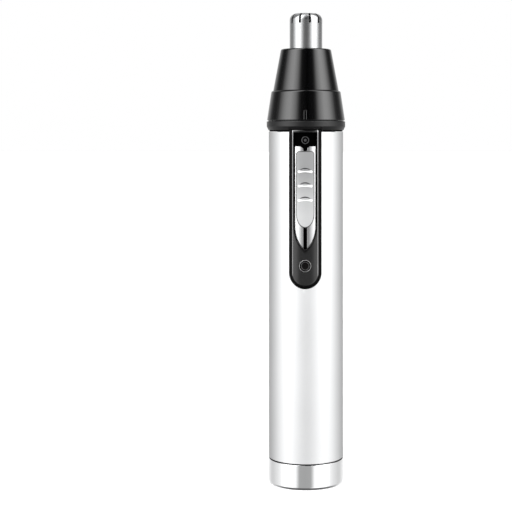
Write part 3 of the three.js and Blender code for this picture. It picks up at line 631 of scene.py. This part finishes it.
BUTTON_HALF = span("slide_button")[1][0]
BUTTON_LOW = span("slide_button")[0][2]
BUTTON_HIGH = span("slide_button")[1][2]
BUTTON_R = 11.75
BUTTON_BACK_R = 11
BUTTON_END = 4.1
BUTTON_CORNER = 0.9
BUTTON_EDGE = 0.22
GRIP_HEIGHTS = (83.8, 87.95, 92.1)
LIP_RISE = 0.16
LIP_HALF = 1.7
LIP_END = 0.42
LIP_LEAST = 0.13
LIP_GROWTH = 0.26
CRESCENT_HALF = 1.6
CRESCENT_DEPTH = 0.16
FADE_LOW = 80
FADE_HIGH = 94

silver_lacquer = finish("silver_lacquer", (0.4, 0.403, 0.406), 0.42, 0.35, grain=9000, soft=200,
                        shade=0.05, spread=0.04, depth=0.08, scratch=0.01)
painted_shade_grey = finish("painted_shade_grey", (0.03, 0.03, 0.031), 0.5, grain=5000, shade=0.1, spread=0.05)
lip_highlight_silver = finish("lip_highlight_silver", (0.9, 0.903, 0.906), 0.35, 0.3, grain=9000, shade=0.03, spread=0.04)
lacquer_tree = silver_lacquer.node_tree
# Painted shade: the lacquer's colour runs from lighter at the bottom to darker at the top.
place = add_node(lacquer_tree, "TexCoord").outputs["Object"]
fade = add_node(lacquer_tree, "MapRange", {
    "Value": add_node(lacquer_tree, "SeparateXYZ", {0: place}).outputs["Z"],
    "From Min": FADE_LOW * MM, "From Max": FADE_HIGH * MM, "To Min": 1.08, "To Max": 0.64,
}, interpolation_type="SMOOTHSTEP")
scale_colour(silver_lacquer, fade.outputs[0])


def slider_inset(x, z):
    """How far a point is inside the slider's outline: an ellipse below, rounded corners on top."""
    low, high = BUTTON_LOW + BUTTON_END, BUTTON_HIGH - BUTTON_CORNER
    end = (1 - np.hypot(x / BUTTON_HALF, (low - z) / BUTTON_END)) * BUTTON_HALF
    across = np.clip(np.abs(x) - BUTTON_HALF + BUTTON_CORNER, 0, None)
    corner = BUTTON_CORNER - np.hypot(across, np.clip(z - high, 0, None))
    side = np.where(z > high, np.minimum(corner, BUTTON_HALF - np.abs(x)), BUTTON_HALF - np.abs(x))
    return np.clip(np.where(z < low, end, side), 0, None)


def grip_crescent(x, z, height):
    """1 in the middle of a crescent above a grip's lip, falling to 0 at its edge."""
    narrow = np.clip(1 - (x / CRESCENT_HALF) ** 2, 0, 1)
    return 1 - np.abs(z - height - 0.5 - 0.45 * narrow) / np.maximum(0.2 * narrow ** 0.7, 0.001)


def lip_thickness(x):
    """Half a lip's thickness at x: least in the middle, most near the ends, and 0 past them."""
    thick = LIP_LEAST + LIP_GROWTH * np.clip(np.abs(x) / (LIP_HALF + 0.1), 0, 1) ** 2
    past = np.clip((np.abs(x) - LIP_HALF) / LIP_END, 0, 1)
    return thick * np.sqrt(1 - past ** 2)


def slider_face():
    """The slider's face and back as grids over height and width. The edge is a quarter round. Each
    lip is half an ellipse across its own thickness, which grows with x^2, and each crescent is a
    shallow cut."""
    turn = np.linspace(0, np.pi / 2, 30)
    low, high = BUTTON_LOW + BUTTON_END, BUTTON_HIGH - BUTTON_CORNER
    sides = np.linspace(low, high, 300)[1:-1]
    z = np.concatenate([low - BUTTON_END * np.cos(turn), sides, high + BUTTON_CORNER * np.sin(turn)])
    half = np.concatenate([
        BUTTON_HALF * np.sin(turn), BUTTON_HALF + 0 * sides,
        BUTTON_HALF - BUTTON_CORNER * (1 - np.cos(turn)),
    ])
    u = np.sin(np.linspace(-np.pi / 2, np.pi / 2, 91))
    x = half[:, None] * u
    z = z[:, None] + 0 * x
    out = 1 - np.minimum(slider_inset(x, z), BUTTON_EDGE) / BUTTON_EDGE
    face = BUTTON_R - BUTTON_EDGE * (1 - np.sqrt(1 - out ** 2))
    for height in GRIP_HEIGHTS:
        face -= CRESCENT_DEPTH * np.clip(grip_crescent(x, z, height) * 2, 0, 1)
        thick = lip_thickness(x)
        along = np.clip((z - height) / np.maximum(thick, 0.01), -1, 1)
        face += LIP_RISE * np.sqrt(1 - along ** 2) * np.clip(thick / 0.2, 0, 1)
    return [np.stack([x, -np.sqrt(r ** 2 - x ** 2), z], -1) for r in (face, BUTTON_BACK_R + 0 * face)]


slider = slab("thumb_slider", *slider_face())
settle(slider, "switch", "silver_plastic", silver_lacquer, "slide_button")


def shaded_faces(x, y, z, r):
    """The faces painted dark grey as painted shade: the edge, the sides, the back and the crescents."""
    cut = np.max([grip_crescent(x, z, height) for height in GRIP_HEIGHTS], axis=0) > 0.1
    return (slider_inset(x, z) < 0.2) | (r < BUTTON_R - 0.3) | cut


def on_lip(x, y, z, r):
    """The faces of the three lips, painted bright silver as a painted highlight."""
    near = np.min([np.abs(z - height) for height in GRIP_HEIGHTS], axis=0)
    return (near < lip_thickness(x) * 0.95) & (y < -11.2) & ~shaded_faces(x, y, z, r)


# Painted shade: the slider's edge, sides, back and crescents are dark grey.
paint(slider, painted_shade_grey, shaded_faces)
# Painted highlight: the lips are bright silver.
paint(slider, lip_highlight_silver, on_lip)


# ---- Charge light ----
# A smoked lens in a black bezel at the panel's foot, with two hairline rings of foil: a bright one
# outside and a dull one round the lens. All of it follows the barrel's curve.

LIGHT_Z = (span("indicator_lens")[0][2] + span("indicator_lens")[1][2]) / 2
LINE_HALF = 0.04

smoked = finish("smoked_lens", (0.0012, 0.001, 0.001), 0.12, grain=800, shade=0.1, spread=0.02,
                scratch=0, sockets={"IOR": 1.28})


def set_in_wall(name, corners, height, closed=True, base=FIELD_R):
    """A profile of (distance from its own centre, rise, fillet) turned about a line out of the barrel's
    front, with each point's rise measured out from the barrel's curve."""
    profile = rounded(corners, closed)
    angle = np.linspace(0, 2 * np.pi, 72, endpoint=False)[:, None]
    x, z = profile[:, 0] * np.cos(angle), height + profile[:, 0] * np.sin(angle)
    r = base + profile[:, 1] + 0 * angle
    return surface(name, [np.stack([x, -np.sqrt(r ** 2 - x ** 2), z], -1)], True, closed)


bezel = set_in_wall("light_bezel", [
    (1.06, -0.1, 0), (1.7, -0.1, 0), (1.68, 0.06, 0.03), (1.5, 0.08, 0.03), (1.3, 0.08, 0.03),
    (1.06, 0.02, 0),
], LIGHT_Z)
settle(bezel, "root", "satin_black_plastic", soft_black, "indicator_bezel")
foil = finish("ring_foil", (0.7, 0.7, 0.7), 0.3, 0.8, grain=6000, shade=0.06, spread=0.05)
dull_foil = finish("dull_foil", (0.2, 0.2, 0.2), 0.35, 0.8, grain=6000, shade=0.06, spread=0.05)
for name, middle, made_of in (("light_line_outer", 1.65, foil), ("light_line_inner", 1.12, dull_foil)):
    line = set_in_wall(name, [
        (middle - LINE_HALF, 0, 0), (middle + LINE_HALF, 0, 0),
        (middle + LINE_HALF - 0.005, 0.12, 0.02), (middle - LINE_HALF + 0.005, 0.12, 0.02),
    ], LIGHT_Z)
    settle(line, "root", "satin_black_plastic", made_of)
lens = set_in_wall("light_lens", [
    (0, -0.1, 0), (1.08, -0.1, 0), (1.08, 0.01, 0.04), (0.8, 0.05, 0.2), (0, 0.07, 0),
], LIGHT_Z, closed=False)
settle(lens, "root", "smoked_lens", smoked, "indicator_lens")


# ---- Lock mark ----
# A plain moulded ring with a dot, in the black rectangle above the slider, grey against the pocket's
# floor. It shows the end of the slider's travel.

MARK_Z = 101.2
mark_grey = finish("mark_grey", (0.035, 0.035, 0.036), 0.3, grain=3000, shade=0.1, spread=0.05)
for name, corners, closed in (
    ("lock_ring", [(0.86, -0.02, 0), (1.12, -0.02, 0), (1.1, 0.08, 0.04), (0.88, 0.08, 0.04)], True),
    ("lock_dot", [(0, -0.02, 0), (0.42, -0.02, 0), (0.4, 0.08, 0.05), (0, 0.09, 0)], False),
):
    mark = set_in_wall(name, corners, MARK_Z, closed, base=POCKET_R)
    settle(mark, "root", "satin_black_plastic", mark_grey)


# ---- Collar ----
# The black band clamped between the barrel and the neck: satin ABS with a long chamfer below, over a
# step painted deep black as painted shade for the gap's dark line. It is notched at the front, where
# the panel's top edge tucks under it, and a low land on top closes the gap to the head.

COLLAR_R = span("collar")[1][0]
COLLAR_LOW = span("collar")[0][2]
COLLAR_HIGH = span("collar")[1][2]
COLLAR_STEP_R = 10.85
COLLAR_STEP_TOP = COLLAR_LOW + 0.4
CHAMFER_TOP = 105.2
NOTCH_GAP = 0.2


def collar_points():
    """The turned profile, with every point inside the notch's width lifted to the notch's ceiling."""
    profile = rounded([
        (8.9, COLLAR_LOW, 0.1), (COLLAR_STEP_R, COLLAR_LOW, 0.02),
        (COLLAR_STEP_R, COLLAR_STEP_TOP, 0.02), (11.12, COLLAR_STEP_TOP, 0.05),
        (COLLAR_R, CHAMFER_TOP, 0.35), (COLLAR_R, COLLAR_HIGH, 0.22), (11.22, COLLAR_HIGH, 0.03),
        (11.2, COLLAR_HIGH + 0.2, 0.05), (8.9, COLLAR_HIGH + 0.2, 0.1),
    ])
    wall = math.asin((PANEL_HALF + NOTCH_GAP) / 11.3)
    walls = np.array([wall, wall + 0.002, 2 * np.pi - wall - 0.002, 2 * np.pi - wall])
    even = np.linspace(0, 2 * np.pi, TURN_STEPS, endpoint=False)
    angle = np.sort(np.concatenate([even, walls]))[:, None]
    inside = np.minimum(angle, 2 * np.pi - angle) <= wall + 1e-6
    z = np.where(inside, np.maximum(profile[:, 1], PANEL_HIGH + 0.12), profile[:, 1])
    r = profile[:, 0] + 0 * angle
    return np.stack([r * np.sin(angle), -r * np.cos(angle), z], -1)


collar = surface("collar_band", [collar_points()], True, True)
settle(collar, "root", "satin_black_plastic", satin_black, "collar")
# Painted shade: the step under the band is deep black, for the dark line of the gap over the barrel.
paint(collar, deep_black_and_gap_shade, lambda x, y, z, r: (z < COLLAR_STEP_TOP - 0.01) & (r < COLLAR_STEP_R + 0.03))


# ---- Neck ----
# The spigot under the head, moulded in satin black ABS: two small lugs, a rubber ring in a groove, and
# two screws that hold it to the tray. The drive dog turns in its bore.

neck_low, neck_high = span("neck")
NECK_R = 8.6
LUG_HEIGHT = 107.9
LUG_RISE = 0.4
LUG_HALF_LONG = 1.5
LUG_HALF_HIGH = 0.7
neck = turned("neck_spigot", [
    (4.2, neck_low[2], 0.2), (9.2, neck_low[2], 0.2), (9.2, 103.4, 0.1), (NECK_R, 103.4, 0.1),
    (NECK_R, 109.1, 0.1), (8.15, 109.1, 0.1), (8.15, 110.1, 0.1), (NECK_R, 110.1, 0.1),
    (NECK_R, neck_high[2], 0.5), (7.6, neck_high[2], 0.1), (7.4, 111.7, 0.1), (5.4, 111.7, 0.1),
    (5.2, neck_high[2], 0.1), (4.2, neck_high[2], 0.3),
])
settle(neck, "root", "satin_black_plastic", satin_black, "neck")
seal("neck_ring", "neck_seal")


def lug(name, side):
    """One lug: a pad on the neck's wall that rises as (1 - u^8)(1 - v^8), with u and v from -1 to 1."""
    u, v = np.meshgrid(np.linspace(-1, 1, 25), np.linspace(-1, 1, 15))
    rise = LUG_RISE * (1 - u ** 8) * (1 - v ** 8)
    grids = []
    for r in (NECK_R + rise, NECK_R - 0.3 + 0 * rise):
        angle = side * np.pi / 2 + u * LUG_HALF_LONG / NECK_R
        height = LUG_HEIGHT + LUG_HALF_HIGH * v
        grids.append(np.stack([r * np.sin(angle), -r * np.cos(angle), height], -1))
    settle(slab(name, *grids), "root", "satin_black_plastic", satin_black)


lug("neck_lug_left", -1)
lug("neck_lug_right", 1)


# ---- Drive dog ----
# The nylon dog pressed on the motor's steel shaft, and the shaft itself. Two half-round jaws on the dog
# leave a slot for the spindle's tongue: each is a grid from the slot out to the dog's own arc.

dog_low, dog_high = span("drive_coupling")
DOG_R = dog_high[0]
DOG_SLOT_HALF = 0.8
DOG_SLOT_FLOOR = 106.5
for side, label in ((-1, "front"), (1, "back")):
    u, v = np.meshgrid(np.linspace(0, 1, 40), np.linspace(0, 1, 12))
    reach = math.asin(DOG_SLOT_HALF / DOG_R)
    angle = reach + (np.pi - 2 * reach) * u
    x, y = DOG_R * np.cos(angle) * (0.999 + 0 * v), side * DOG_R * np.sin(angle)
    from_slot = side * DOG_SLOT_HALF
    top = np.stack([x, from_slot + (y - from_slot) * v, dog_high[2] - 0.25 * v ** 6], -1)
    bottom = top * [1, 1, 0] + [0, 0, DOG_SLOT_FLOOR]
    settle(slab("drive_dog_" + label, top, bottom), "rotor", "white_nylon", nylon)
dog = turned("drive_dog", [
    (1.3, dog_low[2], 0.1), (DOG_R - 0.4, dog_low[2], 0.1), (DOG_R, 99.5, 0.2),
    (DOG_R, DOG_SLOT_FLOOR + 0.02, 0), (0.6, DOG_SLOT_FLOOR + 0.02, 0), (1.3, 104.9, 0.1),
], steps=72)
settle(dog, "rotor", "white_nylon", nylon, "drive_coupling")
shaft_low, shaft_high = span("motor_shaft")
shaft = turned("motor_axle", [
    (0, shaft_low[2], 0), (1, shaft_low[2], 0.15), (1, shaft_high[2], 0.15), (0, shaft_high[2], 0),
], closed=False, steps=40)
settle(shaft, "rotor", "polished_steel", bright_steel, "motor_shaft")


# ---- Head skirt ----
# The lower cone of the head, which the fingers twist: gloss black ABS with a rounded shoulder. A small
# moulded bar at the front shows where it locks.

SKIRT_LOW = span("head_skirt")[0][2]
SKIRT_HIGH = span("head_skirt")[1][2]
SKIRT_FOOT_R = span("head_skirt")[1][0]
SKIRT_TOP_R = 10.25
SKIRT_BORE_R = 9.2
BAR_HALF = 0.43
BAR_RISE = 0.17
BAR_ROUND = 0.16

gloss_black = finish("gloss_black_plastic", (0.0006, 0.0006, 0.0007), 0.07, grain=500, soft=90,
                     shade=0.2, spread=0.03, depth=0.05, scratch=0.012, scratch_gloss=0.1,
                     sockets={"IOR": 1.46})
skirt = turned("skirt", [
    (SKIRT_BORE_R, SKIRT_LOW, 0.15), (SKIRT_FOOT_R, SKIRT_LOW, 0.2), (SKIRT_TOP_R, SKIRT_HIGH, 0.55),
    (SKIRT_BORE_R, SKIRT_HIGH, 0.1),
])
settle(skirt, "head", "gloss_black_plastic", gloss_black, "head_skirt")


def index_bar():
    """The bar on the sloping wall. Its top end is round, and its edge is a quarter round."""
    half, low, high = BAR_HALF, SKIRT_LOW + 0.25, SKIRT_LOW + 3.05
    turn = np.linspace(0, np.pi / 2, 12)
    z = np.concatenate([np.linspace(low, high - half, 20), high - half + half * np.sin(turn[1:])])
    width = np.concatenate([np.full(20, half), half * np.cos(turn[1:])])
    u = np.sin(np.linspace(-np.pi / 2, np.pi / 2, 21))
    x, z = width[:, None] * u, z[:, None] + 0 * u
    slope = (SKIRT_FOOT_R - SKIRT_TOP_R) / (SKIRT_HIGH - SKIRT_LOW)
    wall = SKIRT_FOOT_R - slope * (z - SKIRT_LOW)
    from_side = np.minimum(half - np.abs(x), width[:, None] * (1 - np.abs(u)) + 0.001)
    inward = np.clip(from_side, 0, BAR_ROUND) / BAR_ROUND
    rise = BAR_RISE * np.sqrt(np.clip(1 - (1 - inward) ** 2, 0, 1))
    return [np.stack([x, -np.sqrt(r ** 2 - x ** 2), z], -1) for r in (wall + rise, wall - 0.2)]


bar = slab("index_bar", *index_bar())
settle(bar, "head", "gloss_black_plastic", gloss_black)


# ---- Head cone ----
# The upper cone, moulded in the same gloss black. Its spigot plugs into the skirt, and the guard sits
# in its top.

CONE_SEAT = SKIRT_HIGH + 0.02
CONE_FOOT_R = span("head_cone")[1][0]
CONE_TOP = span("head_cone")[1][2]
CONE_LOW = span("head_cone")[0][2]
CONE_TOP_R = 7.42

cone = turned("nose_cone", [
    (7.9, CONE_LOW, 0.2), (8.9, CONE_LOW, 0.2), (8.9, CONE_SEAT, 0.05), (CONE_FOOT_R, CONE_SEAT, 0.12),
    (CONE_TOP_R, CONE_TOP, 0.6), (5.1, CONE_TOP, 0.15), (5.1, CONE_TOP - 0.9, 0.05),
    (6.3, CONE_TOP - 0.9, 0.05), (6.3, CONE_TOP - 4.6, 0.2), (7.1, CONE_TOP - 5.5, 0.3),
    (7.9, CONE_LOW + 5.5, 0.5),
])
settle(cone, "head", "gloss_black_plastic", gloss_black, "head_cone")


# ---- Cutter guard ----
# The fixed guard: a deep-drawn stainless cap with a flange that the cone traps. Ten saw-cut slots run
# over its rounded end and let the hairs in to the blade.

GUARD_R = 4.83
GUARD_WALL = 0.35
GUARD_CHAMFER = 0.05
GUARD_TOP = span("cutter_guard")[1][2]
GUARD_LOW = span("cutter_guard")[0][2]
FLANGE_R = span("cutter_guard")[1][0]
SLOTS = 10
SLOT_HALF = 0.31
SLOT_FOOT = 135.6
SLOT_HEAD_R = 1.4
SLOT_TURN = math.radians(15.4)
DOME_R = 2.0
FLANGE_ROOT = GUARD_LOW + 0.7
FLANGE_FILLET = 0.3

guard_steel = finish("guard_steel", (0.35, 0.353, 0.356), 0.28, 1.0, grain=7000,
                     stretch=(0.08, 0.08, 1), shade=0.04, spread=0.04, depth=0.06)


def guard_strip():
    """Half of one slot's share of the cap, as (angle, r, z). Rows follow the wall from the flange, up
    the side, over the dome and in to the middle. Columns run from the slot's edge to the next share.
    The slot's half width is constant, with half a circle at each end."""
    turn, dome = np.linspace(0, np.pi / 2, 7), np.linspace(0, np.pi / 2, 13)
    foot = SLOT_FOOT + SLOT_HALF
    shoulder = GUARD_TOP - DOME_R
    head = SLOT_HEAD_R + SLOT_HALF
    stretches = [
        (np.linspace(FLANGE_R, GUARD_R + FLANGE_FILLET, 4), np.full(4, FLANGE_ROOT), np.zeros(4)),
        (GUARD_R + FLANGE_FILLET * (1 - np.sin(turn)), FLANGE_ROOT + FLANGE_FILLET * (1 - np.cos(turn)),
         0 * turn),
        (np.full(11, GUARD_R), np.linspace(GUARD_LOW + 1.1, SLOT_FOOT - 0.1, 11), np.zeros(11)),
        (GUARD_R + 0 * turn, foot - SLOT_HALF * np.cos(turn), SLOT_HALF * np.sin(turn)),
        (np.full(3, GUARD_R), np.linspace(foot + 0.1, shoulder - 0.1, 3), np.full(3, SLOT_HALF)),
        (GUARD_R - DOME_R * (1 - np.cos(dome)), shoulder + DOME_R * np.sin(dome),
         np.full(13, SLOT_HALF)),
        (np.linspace(GUARD_R - DOME_R, head, 5)[1:-1], np.full(3, GUARD_TOP), np.full(3, SLOT_HALF)),
        (head - SLOT_HALF * np.sin(turn), np.full(7, GUARD_TOP), SLOT_HALF * np.cos(turn)),
        (np.linspace(SLOT_HEAD_R, 0, 5)[1:], np.full(4, GUARD_TOP), np.zeros(4)),
    ]
    r, z, half = (np.concatenate([s[i] for s in stretches])[:, None] for i in range(3))
    start = np.arcsin(half / np.maximum(r, 0.01))
    angle = start + (np.pi / SLOTS - start) * np.linspace(0, 1, 7)
    return angle, r + 0 * angle, z + 0 * angle


def guard_grids():
    """The half share and its mirror image, turned to each slot in turn."""
    angle, r, z = guard_strip()
    grids = []
    for i in range(SLOTS):
        middle = SLOT_TURN + 2 * np.pi * i / SLOTS
        for side in (1, -1):
            a = middle + side * angle
            grid = np.stack([r * np.sin(a), -r * np.cos(a), z], -1)
            grids.append(grid if side > 0 else grid[:, ::-1])
    return grids


# Painted shade: the guard's inside and slot edges are near black, so the slots look dark.
guard_inside_shade = finish("guard_inside_shade", (0.008, 0.008, 0.008), 0.6, 0.3, grain=2500, shade=0.2,
                      spread=0.1)
guard = surface("steel_guard", guard_grids(), outward=False)
settle(guard, "head", "polished_steel", guard_steel, "cutter_guard")
edged(guard, GUARD_WALL, GUARD_CHAMFER, guard_inside_shade)


# ---- Spindle carrier, spindle and blade ----
# Inside the head: a nylon carrier that holds the steel spindle, its tongue for the drive dog, a light
# spring, and the flat two-edged blade in its nylon hub. The blade is painted near black: painted shade,
# so the guard's slots look dark.

# Painted shade: the blade is near black, so the guard's slots look dark.
blade_shade_steel = finish("blade_shade_steel", (0.03, 0.03, 0.031), 0.5, 0.9, grain=3500, stretch=(0.1, 1, 1),
                     shade=0.15, spread=0.08)
blade = frame["nodes"]["inner_blade"]
blade.data.materials.clear()
blade.data.materials.append(blade_shade_steel)

HUB_R = 3
bush_low, bush_high = span("spindle_bush")
disc_low = bush_low[2] + 1
carrier = turned("spindle_carrier_disc", [
    (1.5, bush_low[2], 0.15), (HUB_R, bush_low[2], 0.3), (HUB_R, disc_low, 0.2), (7.6, disc_low, 0.2),
    (7.6, disc_low + 2, 0.2), (HUB_R, disc_low + 2, 0.2), (HUB_R, bush_high[2], 0.3),
    (1.5, bush_high[2], 0.15),
], steps=96)
settle(carrier, "spindle_carrier", "white_nylon", nylon, "spindle_bush")

spindle_low, spindle_high = span("blade_spindle")
spindle = turned("spindle_shaft", [
    (0, spindle_low[2] + 3.2, 0), (1.1, spindle_low[2] + 3.2, 0.1), (2.2, spindle_low[2] + 3.4, 0.1),
    (2.2, spindle_low[2] + 4.2, 0.1), (1.2, spindle_low[2] + 4.2, 0.05), (1.2, spindle_high[2], 0.15),
    (0, spindle_high[2], 0),
], closed=False, steps=48)
settle(spindle, "blade", "polished_steel", bright_steel, "blade_spindle")
u, v = np.meshgrid(np.linspace(-1, 1, 17), np.linspace(0, 1, 17))
tongue_x = 2.2 * u * (1 - 0.12 * (1 - v) ** 4)
tongue_z = spindle_low[2] + 3.4 * v
tongue_y = 0.5 * (1 - 0.25 * (1 - v) ** 6)
tongue = slab("spindle_tongue", np.stack([tongue_x, -tongue_y, tongue_z], -1),
              np.stack([tongue_x, tongue_y, tongue_z], -1))
settle(tongue, "blade", "polished_steel", bright_steel)


# ---- Studio ----
# A pale floor, a white surround, and two tall soft boxes left and right of the camera. The glow depends
# on the direction alone, so the barrel mirrors it in upright bands.

# The glow at each bearing from the camera's side, in degrees: first level with the barrel, then above.
LEVEL_GLOW = (
    (0, 0.4), (17, 0.42), (22, 0.65), (28, 1.05), (40, 1.35), (72, 1.35), (84, 1.0), (96, 0.86),
    (118, 0.7), (130, 0.7), (152, 0.9), (180, 0.9),
)
RAISED_GLOW = (
    (0, 0.01), (20, 0.12), (26, 0.5), (31, 1.7), (38, 3.8), (46, 5.4), (55, 6.8), (66, 6.3),
    (76, 4.8), (88, 2.3), (99, 0.5), (109, 0.16), (122, 0.13), (132, 0.35), (142, 0.75), (180, 0.9),
)
GLOW_SCALE = 8
TABLE_GLOW = 0.1
SWING = (1.9, 13)
RAISED_FROM = (-0.14, 0.26)
TABLE_FROM = (-0.8, -0.45)
FLOOR_WIDTH = 12

bpy.ops.mesh.primitive_plane_add(size=FLOOR_WIDTH, location=(0, 0, 0))
floor = bpy.context.object
floor.name = "studio_floor"
floor.visible_glossy = False
pale = bpy.data.materials.new("pale_floor")
pale.use_nodes = True
pale_shader = pale.node_tree.nodes["Principled BSDF"].inputs
pale_shader["Base Color"].default_value = (0.9, 0.9, 0.9, 1)
pale_shader["Roughness"].default_value = 0.9
floor.data.materials.append(pale)

world = bpy.data.worlds.new("studio")
bpy.context.scene.world = world
world.use_nodes = True
sky = world.node_tree


def glow_ramp(bearing, table):
    """A table of (degrees, glow) as a colour ramp over half a turn."""
    ramp = add_node(sky, "ValToRGB", {0: bearing})
    stops = ramp.color_ramp.elements
    while len(stops) < len(table):
        stops.new(0.5)
    for stop, (degrees, glow) in zip(stops, table):
        stop.position = degrees / 180
        stop.color = (glow / GLOW_SCALE, glow / GLOW_SCALE, glow / GLOW_SCALE, 1)
    return ramp.outputs[0]


def rise(height, between):
    """0 below one height of the direction, 1 above the other, and smooth between."""
    low, high = between
    return add_node(sky, "MapRange", {"Value": height, "From Min": low, "From Max": high},
                    interpolation_type="SMOOTHSTEP").outputs[0]


def blend(share, first, second):
    """One colour changing into another."""
    mixed = add_node(sky, "Mix", {"Factor": share, "A": first, "B": second}, data_type="RGBA")
    return mixed.outputs["Result"]


aim = add_node(sky, "TexCoord").outputs["Generated"]
x, y, z = add_node(sky, "SeparateXYZ", {0: aim}).outputs
to_right = maths(sky, "ARCTAN2", x, maths(sky, "MULTIPLY", y, -1))
swing = maths(sky, "MULTIPLY_ADD", z, math.radians(SWING[1]), math.radians(SWING[0]))
bearing = maths(sky, "DIVIDE", maths(sky, "ABSOLUTE", maths(sky, "SUBTRACT", to_right, swing)), math.pi)
glow = blend(rise(z, RAISED_FROM), glow_ramp(bearing, LEVEL_GLOW), glow_ramp(bearing, RAISED_GLOW))
dark = TABLE_GLOW / GLOW_SCALE
glow = blend(rise(z, TABLE_FROM), (dark, dark, dark, 1), glow)
bright = add_node(sky, "VectorMath", {0: glow, "Scale": GLOW_SCALE}, operation="SCALE").outputs[0]
seen = add_node(sky, "LightPath").outputs["Is Camera Ray"]
sky.links.new(blend(seen, bright, (1, 1, 1, 1)), sky.nodes["Background"].inputs["Color"])

bpy.context.scene.view_settings.view_transform = "Standard"


# ---- Camera ----
# Level with the collar and almost square to the panel. The view is shifted instead of tilted, so the
# barrel's sides stay upright and parallel.

CAMERA_DISTANCE = 402.5
CAMERA_HEIGHT = 104
CAMERA_TURN = math.radians(1.15)

eye = bpy.data.cameras.new("camera")
eye.lens = 95.4
eye.sensor_width = 36
eye.shift_x = -0.0976
eye.shift_y = -0.2451
camera = bpy.data.objects.new("camera", eye)
bpy.context.scene.collection.objects.link(camera)
reach = CAMERA_DISTANCE * MM
camera.location = (reach * math.sin(CAMERA_TURN), -reach * math.cos(CAMERA_TURN), CAMERA_HEIGHT * MM)
camera.rotation_euler = (math.pi / 2, 0, CAMERA_TURN)
bpy.context.scene.camera = camera
